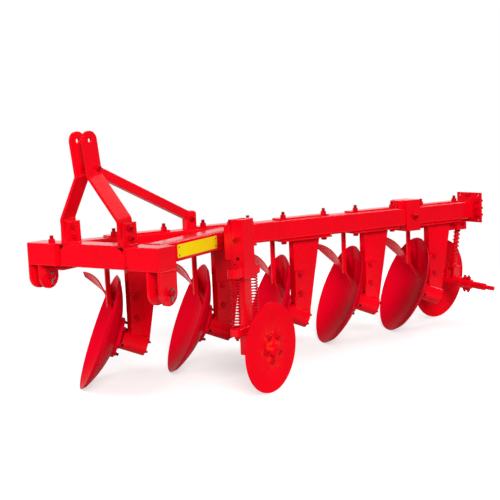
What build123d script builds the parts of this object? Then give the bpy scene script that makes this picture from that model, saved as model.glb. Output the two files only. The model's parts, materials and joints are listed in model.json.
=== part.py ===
"""Five-disc mounted plough, one STEP file for each piece.

Millimetres, +Z up, floor at Z 0, hitch toward -Y. The main beam runs back and to +X.
Places on the beam are given by three numbers: the run along the beam from the foot of the
middle disc, the reach toward the land side (square to the beam) and the height.
"""
import os
from math import hypot, sqrt

from build123d import *

# Middle of the plough's plan box, from the foot of the middle disc
CENTRE_X, CENTRE_Y = 218.7, 273.8

# Main beam
BEAM_ANGLE = 24.0
BEAM_SIZE, BEAM_WALL, BEAM_CORNER = 120.0, 10.0, 14.0
BEAM_TOP = 835.0
BEAM_REACH = 115.0
BEAM_SPARE, BEAM_END_OVER = 120.0, 9.0
BEAM_BOTTOM = BEAM_TOP - BEAM_SIZE
BEAM_MID = BEAM_TOP - BEAM_SIZE / 2
BEAM_FACE, BEAM_BACK = BEAM_REACH + BEAM_SIZE / 2, BEAM_REACH - BEAM_SIZE / 2
BEAM_HOLLOW = BEAM_SIZE - 2 * BEAM_WALL
END_PLATE_REACH, END_PLATE_Z = 142.0, 793.0
END_PLATE_W, END_PLATE_H, END_PLATE_T = 220.0, 204.0, 16.0
END_HOLE_PITCH, END_HOLE_R = 172.0, 9.0
SPLICE_LENGTH, SPLICE_T, SPLICE_DROP, SPLICE_RISE = 117.0, 12.0, 35.0, 50.0
SPLICE_SHOE_L, SPLICE_SHOE_W, SPLICE_GAP = 42.0, 80.0, 11.0

# Five like disc units: the stack of hub, boss, barrel and leg is measured from the disc's back
UNIT_COUNT, UNIT_PITCH = 5, 555.0
FRONT_UNITS = UNIT_COUNT - 1
UNIT_RUNS = [(unit - FRONT_UNITS / 2) * UNIT_PITCH for unit in range(UNIT_COUNT)]
DISC_R, DISC_T = 330.0, 8.0
DISC_SPHERE_R = 600.0
DISC_ANGLE, DISC_TILT = 46.0, 22.0
DISC_BEVEL, RIM_LAND, RIM_DROP = 15.0, 1.0, 1.5
SPHERE_RISE = sqrt(DISC_SPHERE_R**2 - DISC_R**2)
DISC_BACK_R = DISC_SPHERE_R + DISC_T
HUB_R, HUB_T = 115.0, 8.0
BOSS_R, BOSS_T = 55.0, 10.0
BARREL_R, BARREL_L, BARREL_CAP = 58.0, 145.0, 11.0
END_GAP, RUNNING_GAP = 7.0, 0.05
SPINDLE_R = 25.0
LEG_SEAT = 98.0
HUB_BACK = DISC_BACK_R - SPHERE_RISE + HUB_T
BOSS_BACK = HUB_BACK + BOSS_T
BARREL_FRONT = BOSS_BACK + END_GAP
BARREL_BACK = BARREL_FRONT + BARREL_L
BARREL_BORE_END = BARREL_BACK - BARREL_CAP
SPINDLE_END = BARREL_BORE_END - END_GAP
LEG_BACK = BARREL_FRONT + LEG_SEAT
LEG_T = 50.0
LEG_LEFT, LEG_RIGHT_TOP, LEG_RIGHT_FOOT = -48.0, 150.0, 58.0
LEG_PAD_START, LEG_PAD_END, LEG_PAD_W, LEG_PAD_T = -153.0, 219.0, 130.0, 12.0
LEG_COVER_RIGHT, LEG_COVER_FOOT, LEG_COVER_TOP, LEG_COVER_T = 25.0, 350.0, 508.0, 8.0
CLAMP_W, CLAMP_T = 80.0, 10.0

# Scraper: each blade edge in the disc's own frame as (rear, up, lift over the disc's hollow face)
BLADE_T = 8.0
BLADE_EDGES = [
    {"lower": (0, 75, 10), "upper": (24, 118, 42)},
    {"lower": (120, 128, 13), "upper": (100, 200, 82)},
    {"lower": (262, 176, 13), "upper": (190, 254, 98)},
    {"lower": (286, 234, 118), "upper": (280, 258, 129)},
]
SCRAPER_BAR_L, SCRAPER_BAR_W, SCRAPER_SINK = 26.0, 16.0, 20.0
SCRAPER_LUG_L, SCRAPER_LUG_H, SCRAPER_LUG_LIFT = 52.0, 90.0, 15.0

# Mast, stay and brace
MAST_LEAN, MAST_SETBACK = 7.5, 73.0
MAST_W, MAST_T, MAST_BEND = 100.0, 15.0, 30.0
MAST_HALF_FOOT, MAST_HALF_TOP = 203.0, 49.0
MAST_ROOT, MAST_KNEE, MAST_NECK, MAST_HOLE, MAST_TOP = -30.0, 130.0, 355.0, 533.0, 580.0
MAST_EAR_FLAT = 1.0
MAST_EAR_R = MAST_W / 2 - MAST_EAR_FLAT
TOP_PIN_R = 12.75
FOOT_H, FOOT_T, FOOT_BASE_W, FOOT_TOP_W = 114.0, 14.0, 106.0, 98.0
STAY_AHEAD, STAY_TOP_Z, STAY_H, STAY_W, STAY_PIN_R = 32.0, 1225.0, 50.0, 30.0, 10.0
STAY_BRACKET_L, STAY_BRACKET_H, STAY_BRACKET_R, STAY_BRACKET_GAP = 60.0, 105.0, 16.0, 8.5
STAY_FOOT_Z = 905.0
BRACE_SIZE, BRACE_WALL, BRACE_CORNER = 108.0, 8.0, 12.0
BRACE_START_X, BRACE_END = 205.0, (95.0, -175.0)
BRACE_SINK, BRACE_SPARE = 10.0, 120.0

# Three-point hitch
HITCH_X = -105.0
HITCH_FACE, HITCH_DEPTH, HITCH_RECESS = -1226.0, 130.0, 22.0
HITCH_BACK = HITCH_FACE + HITCH_DEPTH
HITCH_Y = HITCH_FACE + HITCH_DEPTH / 2
MAST_Y = HITCH_FACE + MAST_SETBACK
TUBE_FACE = HITCH_FACE + HITCH_RECESS
HITCH_HALF_SPREAD = 412.0
CLEVIS_GAP, EAR_T, EAR_DEPTH = 56.0, 16.0, 130.0
LEFT_PIN_Z, RIGHT_PIN_Z = 648.0, 607.0
LINK_PIN_R, LINK_PIN_OVER = 14.0, 30.0
CLEVIS_HALF = CLEVIS_GAP / 2 + EAR_T
HITCH_CORNER = 6.0
NECK_SIZE, NECK_L = 90.0, 34.0
HITCH_BLOCK_L = HITCH_HALF_SPREAD + CLEVIS_HALF - MAST_HALF_FOOT - FOOT_T - NECK_L
HITCH_LEFT = HITCH_X - HITCH_HALF_SPREAD - CLEVIS_HALF
HITCH_RIGHT = HITCH_X + HITCH_HALF_SPREAD + CLEVIS_HALF
TUBE_START, TUBE_END = HITCH_LEFT + HITCH_BLOCK_L, HITCH_X + MAST_HALF_FOOT + FOOT_T
HITCH_BLOCK_START = HITCH_RIGHT - HITCH_BLOCK_L
NOTCH_W, NOTCH_H = 40.0, 28.0
KNEE_T, KNEE_SLOPE_L, KNEE_W = 28.0, 120.0, 76.0

# Front gauge wheel
WHEEL_X, WHEEL_Y, WHEEL_R, WHEEL_T = 577.0, -619.0, 240.0, 8.0
POST_X, POST_L, POST_W = 422.0, 64.0, 44.0
POST_TOP, POST_FOOT = 890.0, 190.0
SLEEVE_L, SLEEVE_W, SLEEVE_TOP, SLEEVE_FOOT = 100.0, 76.0, 920.0, 603.0
FLANGE_L, FLANGE_W, FLANGE_FOOT, FLANGE_TOP = 90.0, 50.0, 705.0, 890.0
YOKE_L, YOKE_W, YOKE_END_R = 242.0, 60.0, 18.0
UPPER_YOKE_Z, LOWER_YOKE_Z, UPPER_YOKE_H, LOWER_YOKE_H = 617.0, 306.0, 48.0, 40.0
SPRING_R, SPRING_WIRE, SPRING_PITCH = 25.0, 8.0, 174.0
SPRING_SIDES, FRONT_TURNS, REAR_TURNS = 6, 17, 10
AXLE_R, AXLE_COLLAR_R, AXLE_IN = 20.0, 32.0, 12.0
WHEEL_HUB_R, WHEEL_FLANGE_R = 45.0, 112.0
HUB_FOOT, HUB_FLANGE, DOME_FOOT, DOME_TOP, WHEEL_BORE_END = 58.0, 12.0, 24.0, 42.0, 18.0
ARM_START, ARM_W, ARM_H = (185.0, -430.0), 60.0, 90.0

# Rear furrow wheel
REAR_X, REAR_Y, REAR_R = 600.0, 1550.0, 280.0
REAR_TURN, REAR_LEAN = 14.0, 4.0
REAR_BARREL_R, REAR_BARREL_START, REAR_BARREL_END = 38.0, HUB_FOOT + END_GAP, 200.0
REAR_COLLAR_R, REAR_COLLAR_END = 33.0, 275.0
REAR_SHAFT_R, REAR_SHAFT_END = 24.0, 385.0
REAR_TIP_R, REAR_TIP_END = 15.0, 455.0
REAR_STEM_AT, REAR_STEM_R, REAR_STEM_OVER = 112.0, 16.0, 20.0
REAR_BRACKET_L, REAR_BRACKET_Z, REAR_BRACKET_REACH, REAR_BRACKET_GAP = 90.0, 640.0, 82.0, 5.5
REAR_NOSE_AHEAD, REAR_NOSE_L, REAR_NOSE_W, REAR_NOSE_H = 72.0, 78.0, 50.0, 41.0
REAR_FORK_H, REAR_FORK_W, REAR_FORK_T, REAR_SEAT_T = 110.0, 70.0, 14.0, 12.0

# Directions, and the frame of a disc whose rim stands on the origin
BEAM_FRAME = Plane(origin=(-CENTRE_X, -CENTRE_Y, 0)).rotated((0, 0, 90 - BEAM_ANGLE))
BEAM_DIR = BEAM_FRAME.x_dir
LAND_DIR = -BEAM_FRAME.y_dir
BEAM_ROUGH_RUN = HITCH_BACK / BEAM_DIR.Y - BEAM_SPARE
DISC_FRONT = -Plane.XY.rotated((0, 0, DISC_ANGLE)).y_dir
DISC_UP = Vector(0, 0, 1).rotate(Axis((0, 0, 0), DISC_FRONT), -DISC_TILT)
DISC_PLANE = Plane(DISC_UP * DISC_R, x_dir=DISC_FRONT, z_dir=DISC_FRONT.cross(DISC_UP))
LEG_FOOT = DISC_PLANE.from_local_coords((0, 0, -LEG_BACK))
LEG_RUN = LEG_FOOT.dot(BEAM_DIR)
CLAMP_RUN = LEG_RUN + (LEG_PAD_START + LEG_PAD_END) / 2
PAD_STARTS = [run + LEG_RUN + LEG_PAD_START for run in UNIT_RUNS]
STAY_BRACKET_RUN = PAD_STARTS[1] - STAY_BRACKET_GAP - STAY_BRACKET_L / 2
BEAM_SPLICE_RUN = PAD_STARTS[-1] - SPLICE_GAP - SPLICE_LENGTH / 2
REAR_BRACKET_RUN = UNIT_RUNS[-1] + LEG_RUN + LEG_PAD_END + REAR_BRACKET_GAP + REAR_BRACKET_L / 2
BEAM_END_RUN = REAR_BRACKET_RUN + REAR_BRACKET_L / 2 + BEAM_END_OVER
MIN_Z = (Align.CENTER, Align.CENTER, Align.MIN)


def place(x, y, z=0.0):
    """Point given from the foot of the middle disc."""
    return Vector(x - CENTRE_X, y - CENTRE_Y, z)


def on_beam(run, reach, z):
    """Point given along the beam, square to it and up."""
    return place(0, 0, z) + BEAM_DIR * run + LAND_DIR * reach


def across_beam(run, reach=BEAM_REACH, z=BEAM_MID):
    """Plane square to the beam, its x toward the land side and its y up."""
    return Plane(on_beam(run, reach, z), x_dir=LAND_DIR, z_dir=BEAM_DIR)


def beam_box(run, reach, z, length, width, height):
    """Box square to the beam, given by its middle and its base height."""
    with Locations(Plane(on_beam(run, reach, z), x_dir=BEAM_DIR, z_dir=(0, 0, 1)).location):
        Box(length, width, height, align=MIN_Z)


def box_between(x, y, z, mode=Mode.ADD):
    """Box between two values of each axis, measured from the foot of the middle disc."""
    with Locations(place((x[0] + x[1]) / 2, (y[0] + y[1]) / 2, z[0])):
        Box(x[1] - x[0], y[1] - y[0], z[1] - z[0], align=MIN_Z, mode=mode)


def clamp_plate(run):
    """Plate on the beam's top that the bolts of the leg of one disc pull against."""
    beam_box(run + CLAMP_RUN, BEAM_REACH, BEAM_TOP, LEG_PAD_END - LEG_PAD_START, CLAMP_W, CLAMP_T)


def disc_depth(radius, sphere_r):
    """Height over the rim plane, below zero behind it, of a sphere about the disc's own centre."""
    return SPHERE_RISE - sqrt(sphere_r**2 - radius**2)


def over_disc(rear, up, lift):
    """Point over the hollow face of the disc, in the frame of its unit."""
    return DISC_PLANE.from_local_coords((-rear, up, disc_depth(hypot(rear, up), DISC_SPHERE_R) + lift))


def coil_spring(length, turns):
    """Coil of half turns between two flat end rings, standing on Z 0."""
    radius, rise = SPRING_R - SPRING_WIRE / 2, (length - SPRING_WIRE) / (2 * turns)
    with BuildPart() as spring:
        with BuildLine():
            for half in range(2 * turns):
                start, z = radius * (-1) ** half, SPRING_WIRE / 2 + half * rise
                ThreePointArc((start, 0, z), (0, start, z + rise / 2), (-start, 0, z + rise))
        with BuildSketch(Plane((radius, 0, SPRING_WIRE / 2), z_dir=(0, 1, 0))):
            RegularPolygon(SPRING_WIRE / 2, SPRING_SIDES)
        sweep()
        with BuildSketch(Plane.XY, Plane.XY.offset(length - SPRING_WIRE)):
            Circle(SPRING_R)
            Circle(SPRING_R - SPRING_WIRE, mode=Mode.SUBTRACT)
        extrude(amount=SPRING_WIRE)
    return spring.part


def save(solid, name):
    """Label one piece and write its STEP file."""
    solid.label = name
    export_step(solid, f"parts/{name}.step")


os.makedirs("parts", exist_ok=True)

# Main beam, mitred against the back of the hitch beam, with the clamp plates of four legs
with BuildPart() as main_beam:
    with BuildSketch(across_beam(BEAM_ROUGH_RUN)):
        RectangleRounded(BEAM_SIZE, BEAM_SIZE, BEAM_CORNER)
        Rectangle(BEAM_HOLLOW, BEAM_HOLLOW, mode=Mode.SUBTRACT)
    extrude(amount=BEAM_SPLICE_RUN - BEAM_ROUGH_RUN)
    split(bisect_by=Plane(place(0, HITCH_BACK), z_dir=(0, 1, 0)), keep=Keep.TOP)
    for run in UNIT_RUNS[:-1]:
        clamp_plate(run)
save(main_beam.part, "main_beam")

# Extension of the beam for the fifth disc, closed by a bolting plate
end_plane = across_beam(BEAM_END_RUN, END_PLATE_REACH, END_PLATE_Z)
with BuildPart() as extension_beam:
    with BuildSketch(across_beam(BEAM_SPLICE_RUN)):
        RectangleRounded(BEAM_SIZE, BEAM_SIZE, BEAM_CORNER)
        Rectangle(BEAM_HOLLOW, BEAM_HOLLOW, mode=Mode.SUBTRACT)
    extrude(amount=BEAM_END_RUN - BEAM_SPLICE_RUN)
    clamp_plate(UNIT_RUNS[-1])
    with BuildSketch(end_plane):
        Rectangle(END_PLATE_W, END_PLATE_H)
        with GridLocations(END_HOLE_PITCH, END_HOLE_PITCH, 2, 2):
            Circle(END_HOLE_R, mode=Mode.SUBTRACT)
    extrude(amount=END_PLATE_T)
save(extension_beam.part, "extension_beam")

# Clamp round the joint of the two beams, with a shoe on the main beam
splice_foot, splice_height = BEAM_BOTTOM - SPLICE_DROP, BEAM_SIZE + SPLICE_DROP + SPLICE_RISE
with BuildPart() as beam_splice:
    beam_box(BEAM_SPLICE_RUN, BEAM_REACH, splice_foot, SPLICE_LENGTH, BEAM_SIZE + 2 * SPLICE_T, splice_height)
    beam_box(BEAM_SPLICE_RUN - (SPLICE_LENGTH + SPLICE_SHOE_L) / 2, BEAM_REACH, BEAM_TOP, SPLICE_SHOE_L,
             SPLICE_SHOE_W, SPLICE_RISE)
    with BuildSketch(across_beam(BEAM_SPLICE_RUN)):
        Rectangle(BEAM_SIZE, BEAM_SIZE)
    extrude(amount=SPLICE_LENGTH, both=True, mode=Mode.SUBTRACT)
save(beam_splice.part, "beam_splice")

# Hitch beam: deeper block at its left end, recessed tube with two corner notches, knee and neck
with BuildPart() as hitch_beam:
    box_between((HITCH_LEFT, TUBE_START), (HITCH_FACE, HITCH_BACK), (BEAM_BOTTOM, BEAM_TOP))
    fillet(hitch_beam.edges().filter_by(Axis.X), radius=HITCH_CORNER)
    box_between((TUBE_START, TUBE_END), (TUBE_FACE, HITCH_BACK), (BEAM_BOTTOM, BEAM_TOP))
    with Locations(place((TUBE_END + HITCH_BLOCK_START) / 2, HITCH_Y, BEAM_MID)):
        Box(NECK_L, NECK_SIZE, NECK_SIZE)
    with BuildSketch(Plane(place(TUBE_START, HITCH_BACK, BEAM_BOTTOM), x_dir=(1, 0, 0), z_dir=(0, -1, 0))):
        Polygon((HITCH_LEFT + 2 * CLEVIS_HALF - TUBE_START, 0), (HITCH_LEFT + 2 * CLEVIS_HALF - TUBE_START, -KNEE_T),
                (0, -KNEE_T), (KNEE_SLOPE_L, 0), align=None)
    extrude(amount=KNEE_W)
    walls = (BEAM_BOTTOM + BEAM_WALL, BEAM_TOP - BEAM_WALL)
    box_between((HITCH_LEFT + BEAM_WALL, TUBE_START - BEAM_WALL), (HITCH_FACE + BEAM_WALL, HITCH_BACK - BEAM_WALL),
                walls, mode=Mode.SUBTRACT)
    box_between((TUBE_START - BEAM_WALL, TUBE_END - BEAM_WALL), (TUBE_FACE + BEAM_WALL, HITCH_BACK - BEAM_WALL),
                walls, mode=Mode.SUBTRACT)
    for corner_x, inward in ((TUBE_START, 1), (TUBE_END, -1)):
        with BuildSketch(Plane(place(corner_x, TUBE_FACE, BEAM_TOP), x_dir=(1, 0, 0), z_dir=(0, -1, 0))):
            with Locations((inward * BEAM_WALL, -BEAM_WALL)):
                Polygon((0, 0), (inward * NOTCH_W, 0), (0, -NOTCH_H), align=None)
        extrude(amount=-BEAM_WALL, mode=Mode.SUBTRACT)
save(hitch_beam.part, "hitch_beam")

with BuildPart() as hitch_block:
    box_between((HITCH_BLOCK_START, HITCH_RIGHT), (HITCH_FACE, HITCH_BACK), (BEAM_BOTTOM, BEAM_TOP))
    fillet(hitch_block.edges().filter_by(Axis.X), radius=HITCH_CORNER)
    box_between((HITCH_BLOCK_START + BEAM_WALL, HITCH_RIGHT - BEAM_WALL),
                (HITCH_FACE + BEAM_WALL, HITCH_BACK - BEAM_WALL), walls, mode=Mode.SUBTRACT)
save(hitch_block.part, "hitch_block")

# Two lower-link clevises, each of two ears, and their pins
CLEVISES = [
    {"name": "left", "x": HITCH_X - HITCH_HALF_SPREAD, "pin_z": LEFT_PIN_Z},
    {"name": "right", "x": HITCH_X + HITCH_HALF_SPREAD, "pin_z": RIGHT_PIN_Z},
]
for clevis in CLEVISES:
    pin_plane = Plane(place(clevis["x"], HITCH_Y, clevis["pin_z"]), x_dir=(0, 1, 0), z_dir=(1, 0, 0))
    ear_rise = BEAM_BOTTOM - clevis["pin_z"]
    with BuildPart() as ears:
        for side in (-1, 1):
            with BuildSketch(pin_plane.offset(side * (CLEVIS_GAP + EAR_T) / 2)):
                Circle(EAR_DEPTH / 2)
                with Locations((0, ear_rise / 2)):
                    Rectangle(EAR_DEPTH, ear_rise)
                Circle(LINK_PIN_R + RUNNING_GAP, mode=Mode.SUBTRACT)
            extrude(amount=EAR_T / 2, both=True)
    save(ears.part, f"{clevis['name']}_clevis")
    with BuildPart() as link_pin:
        with Locations(pin_plane.location):
            Cylinder(LINK_PIN_R, 2 * (CLEVIS_HALF + LINK_PIN_OVER))
    save(link_pin.part, f"{clevis['name']}_link_pin")

# Mast of two bent flat bars with the top-link hole, each bar between two foot plates
mast_plane = Plane(place(HITCH_X, MAST_Y, BEAM_TOP), x_dir=(1, 0, 0), z_dir=(0, -1, 0)).rotated((MAST_LEAN, 0, 0))
bar_foot, bar_top = MAST_HALF_FOOT - MAST_T / 2, MAST_HALF_TOP - MAST_T / 2
for side, name in ((-1, "left"), (1, "right")):
    with BuildPart() as mast:
        with BuildSketch(mast_plane):
            with BuildLine():
                FilletPolyline((side * bar_foot, MAST_ROOT), (side * bar_foot, MAST_KNEE),
                               (side * bar_top, MAST_NECK), (side * bar_top, MAST_TOP), radius=MAST_BEND)
            trace(line_width=MAST_T)
        extrude(amount=MAST_W / 2, both=True)
        fillet(mast.faces().sort_by(Axis.Z)[-1].edges().filter_by(Axis.X), radius=MAST_EAR_R)
        with BuildSketch(Plane(mast_plane.from_local_coords((0, MAST_HOLE, 0)), z_dir=(1, 0, 0))):
            Circle(TOP_PIN_R)
        extrude(amount=2 * MAST_HALF_TOP, both=True, mode=Mode.SUBTRACT)
        split(bisect_by=Plane.XY.offset(BEAM_TOP), keep=Keep.TOP)
    save(mast.part, f"mast_{name}")
    with BuildPart() as mast_foot:
        for plate_x in (MAST_HALF_FOOT + FOOT_T / 2, MAST_HALF_FOOT - MAST_T - FOOT_T / 2):
            with BuildSketch(Plane(place(HITCH_X + side * plate_x, MAST_Y, BEAM_TOP), x_dir=(0, 1, 0), z_dir=(1, 0, 0))):
                Polygon((-FOOT_BASE_W / 2, 0), (FOOT_BASE_W / 2, 0), (FOOT_TOP_W / 2, FOOT_H), (-FOOT_TOP_W / 2, FOOT_H),
                        align=None)
            extrude(amount=FOOT_T / 2, both=True)
    save(mast_foot.part, f"mast_foot_{name}")

# Stay from a cross pin in the mast to a bracket on the main beam
with BuildPart() as stay_bracket:
    beam_box(STAY_BRACKET_RUN, BEAM_REACH, BEAM_TOP, STAY_BRACKET_L, STAY_BRACKET_L, STAY_BRACKET_H)
    fillet(stay_bracket.faces().sort_by(Axis.Z)[-1].edges(), radius=STAY_BRACKET_R)
save(stay_bracket.part, "stay_bracket")

stay_top = place(HITCH_X, MAST_Y - STAY_AHEAD, STAY_TOP_Z)
stay_foot = on_beam(STAY_BRACKET_RUN, BEAM_REACH, STAY_FOOT_Z)
with BuildPart() as mast_stay:
    with BuildSketch(Plane(stay_top, x_dir=(1, 0, 0), z_dir=stay_foot - stay_top)):
        Rectangle(STAY_W, STAY_H)
    extrude(amount=(stay_foot - stay_top).length)
    with Locations(Plane(stay_top, z_dir=(1, 0, 0)).location):
        Cylinder(STAY_PIN_R, 2 * (MAST_HALF_TOP - MAST_T))
    add(stay_bracket.part, mode=Mode.SUBTRACT)
save(mast_stay.part, "mast_stay")

# Brace from the hitch block back to the main beam, sawn to both
brace_start = place(BRACE_START_X, HITCH_BACK - BRACE_SINK, BEAM_TOP - BRACE_SIZE / 2)
brace_end = place(*BRACE_END, BEAM_TOP - BRACE_SIZE / 2)
brace_plane = Plane(brace_start, x_dir=(1, 0, 0), z_dir=brace_end - brace_start)
brace_length = (brace_end - brace_start).length
with BuildPart() as brace:
    with BuildSketch(brace_plane.offset(-BRACE_SPARE)):
        RectangleRounded(BRACE_SIZE, BRACE_SIZE, BRACE_CORNER)
        Rectangle(BRACE_SIZE - 2 * BRACE_WALL, BRACE_SIZE - 2 * BRACE_WALL, mode=Mode.SUBTRACT)
    extrude(amount=brace_length + 2 * BRACE_SPARE)
    split(bisect_by=Plane(place(0, HITCH_BACK), z_dir=(0, 1, 0)), keep=Keep.TOP)
    split(bisect_by=Plane(on_beam(0, BEAM_FACE, 0), z_dir=LAND_DIR), keep=Keep.TOP)
save(brace.part, "brace")

# Disc with hub and spindle, one solid of revolution, in the disc's own frame
bevel_r = DISC_R - DISC_BEVEL
flank_r = (bevel_r + HUB_R) / 2
with BuildPart() as disc:
    with BuildSketch(Plane.XZ):
        with BuildLine():
            ThreePointArc((0, disc_depth(0, DISC_SPHERE_R)), (DISC_R / 2, disc_depth(DISC_R / 2, DISC_SPHERE_R)),
                          (DISC_R, 0))
            Polyline((DISC_R, 0), (DISC_R - RIM_LAND, -RIM_DROP), (bevel_r, disc_depth(bevel_r, DISC_BACK_R)))
            ThreePointArc((bevel_r, disc_depth(bevel_r, DISC_BACK_R)), (flank_r, disc_depth(flank_r, DISC_BACK_R)),
                          (HUB_R, disc_depth(HUB_R, DISC_BACK_R)))
            Polyline((HUB_R, disc_depth(HUB_R, DISC_BACK_R)), (HUB_R, -HUB_BACK), (BOSS_R, -HUB_BACK),
                     (BOSS_R, -BOSS_BACK), (SPINDLE_R, -BOSS_BACK), (SPINDLE_R, -SPINDLE_END),
                     (0, -SPINDLE_END), (0, disc_depth(0, DISC_SPHERE_R)))
        make_face()
    revolve(axis=Axis.Z)

# Leg with its pad, bearing barrel and cover plate, in the frame of its unit
leg_plane = Plane((LEG_FOOT.X, LEG_FOOT.Y, 0), x_dir=BEAM_DIR, z_dir=LAND_DIR)
pad_under = BEAM_BOTTOM - LEG_PAD_T
with BuildPart() as leg:
    with BuildSketch(leg_plane):
        with BuildLine():
            Polyline((LEG_LEFT, LEG_FOOT.Z), (LEG_LEFT, pad_under), (LEG_RIGHT_TOP, pad_under),
                     (LEG_RIGHT_FOOT, LEG_FOOT.Z), close=True)
        make_face()
    extrude(amount=LEG_T / 2, both=True)
    with BuildSketch(leg_plane.offset(LEG_T / 2)):
        with Locations(((LEG_LEFT + LEG_COVER_RIGHT) / 2, (LEG_COVER_FOOT + LEG_COVER_TOP) / 2)):
            Rectangle(LEG_COVER_RIGHT - LEG_LEFT, LEG_COVER_TOP - LEG_COVER_FOOT)
    extrude(amount=LEG_COVER_T)
    with Locations(Plane((LEG_FOOT.X, LEG_FOOT.Y, pad_under), x_dir=BEAM_DIR, z_dir=(0, 0, 1)).location):
        with Locations(((LEG_PAD_START + LEG_PAD_END) / 2, 0, 0)):
            Box(LEG_PAD_END - LEG_PAD_START, LEG_PAD_W, LEG_PAD_T, align=MIN_Z)
    with BuildSketch(DISC_PLANE.offset(-BARREL_BACK)):
        Circle(BARREL_R)
    extrude(amount=BARREL_L)
    with BuildSketch(DISC_PLANE.offset(-BARREL_BORE_END)):
        Circle(SPINDLE_R + RUNNING_GAP)
    extrude(amount=BARREL_BORE_END, mode=Mode.SUBTRACT)

# Scraper: twisted blade that follows the disc's hollow, its bar and the lug at the back of the beam
blade = [(over_disc(*edge["lower"]), over_disc(*edge["upper"])) for edge in BLADE_EDGES]
middles = [(lower + upper) * 0.5 for lower, upper in blade]
bar_hold = (blade[0][1] + blade[1][1]) * 0.5
bar_plane = Plane((bar_hold.X, bar_hold.Y, 0), x_dir=BEAM_DIR, z_dir=(0, 0, 1))
bar_foot_z, lug_foot_z = bar_hold.Z - SCRAPER_SINK, BEAM_BOTTOM + SCRAPER_LUG_LIFT
lug_depth = BEAM_BACK - bar_hold.dot(LAND_DIR) - SCRAPER_BAR_W / 2
with BuildPart() as scraper:
    for i, (lower, upper) in enumerate(blade):
        across = (upper - lower).normalized()
        chord = middles[min(i + 1, len(blade) - 1)] - middles[max(i - 1, 0)]
        with BuildSketch(Plane(middles[i], x_dir=across, z_dir=chord - across * chord.dot(across))):
            Rectangle((upper - lower).length, BLADE_T)
    loft()
    with BuildSketch(bar_plane.offset(bar_foot_z)):
        Rectangle(SCRAPER_BAR_L, SCRAPER_BAR_W)
    extrude(amount=lug_foot_z + SCRAPER_LUG_H - bar_foot_z)
    with BuildSketch(bar_plane.offset(lug_foot_z)):
        with Locations((0, -(SCRAPER_BAR_W + lug_depth) / 2)):
            Rectangle(SCRAPER_LUG_L, lug_depth)
    extrude(amount=SCRAPER_LUG_H)

for number, run in enumerate(UNIT_RUNS, start=1):
    foot = Location(on_beam(run, 0, 0))
    save(disc.part.moved(foot * DISC_PLANE.location), f"disc_{number}")
    save(leg.part.moved(foot), f"leg_{number}")
    save(scraper.part.moved(foot), f"scraper_{number}")

# Front wheel: flanged sleeve on an arm of the brace, sprung post with axle, wheel
post_x = (POST_X - POST_W / 2, POST_X + POST_W / 2)
post_y = (WHEEL_Y - POST_L / 2, WHEEL_Y + POST_L / 2)
sleeve_x = (POST_X - SLEEVE_W / 2, POST_X + SLEEVE_W / 2)
with BuildPart() as front_sleeve:
    with Locations(place(POST_X, WHEEL_Y, UPPER_YOKE_Z)):
        Box(YOKE_W, YOKE_L, UPPER_YOKE_H, align=MIN_Z)
    fillet(front_sleeve.edges().filter_by(Axis.Z), radius=YOKE_END_R)
    box_between(sleeve_x, (WHEEL_Y - SLEEVE_L / 2, WHEEL_Y + SLEEVE_L / 2), (SLEEVE_FOOT, SLEEVE_TOP))
    box_between((sleeve_x[0] - FLANGE_W, sleeve_x[0]), (WHEEL_Y - FLANGE_L / 2, WHEEL_Y + FLANGE_L / 2),
                (FLANGE_FOOT, FLANGE_TOP))
    arm_start, arm_end = place(*ARM_START, BEAM_MID), place(POST_X, WHEEL_Y, BEAM_MID)
    with BuildSketch(Plane(arm_start, x_dir=(0, 0, 1), z_dir=arm_end - arm_start)):
        Rectangle(ARM_H, ARM_W)
    extrude(amount=(arm_end - arm_start).length)
    with BuildSketch(brace_plane):
        Rectangle(BRACE_SIZE, BRACE_SIZE)
    extrude(amount=brace_length, mode=Mode.SUBTRACT)
    box_between(post_x, post_y, (SLEEVE_FOOT, SLEEVE_TOP), mode=Mode.SUBTRACT)
save(front_sleeve.part, "front_sleeve")

wheel_axis = Plane(place(0, WHEEL_Y, WHEEL_R), x_dir=(0, 1, 0), z_dir=(1, 0, 0))
with BuildPart() as front_post:
    with Locations(place(POST_X, WHEEL_Y, LOWER_YOKE_Z)):
        Box(YOKE_W, YOKE_L, LOWER_YOKE_H, align=MIN_Z)
    fillet(front_post.edges().filter_by(Axis.Z), radius=YOKE_END_R)
    box_between(post_x, post_y, (POST_FOOT, POST_TOP))
    with BuildSketch(wheel_axis.offset(POST_X)):
        Circle(AXLE_COLLAR_R)
    extrude(amount=WHEEL_X - HUB_FOOT - END_GAP - POST_X)
    with BuildSketch(wheel_axis.offset(POST_X)):
        Circle(AXLE_R)
    extrude(amount=WHEEL_X + AXLE_IN - POST_X)
save(front_post.part, "front_post")

spring_foot = LOWER_YOKE_Z + LOWER_YOKE_H
front_coil = coil_spring(UPPER_YOKE_Z - spring_foot, FRONT_TURNS)
with BuildPart() as front_springs:
    for side in (-1, 1):
        add(front_coil.moved(Location(place(POST_X, WHEEL_Y + side * SPRING_PITCH / 2, spring_foot))))
save(front_springs.part, "front_springs")

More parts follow.
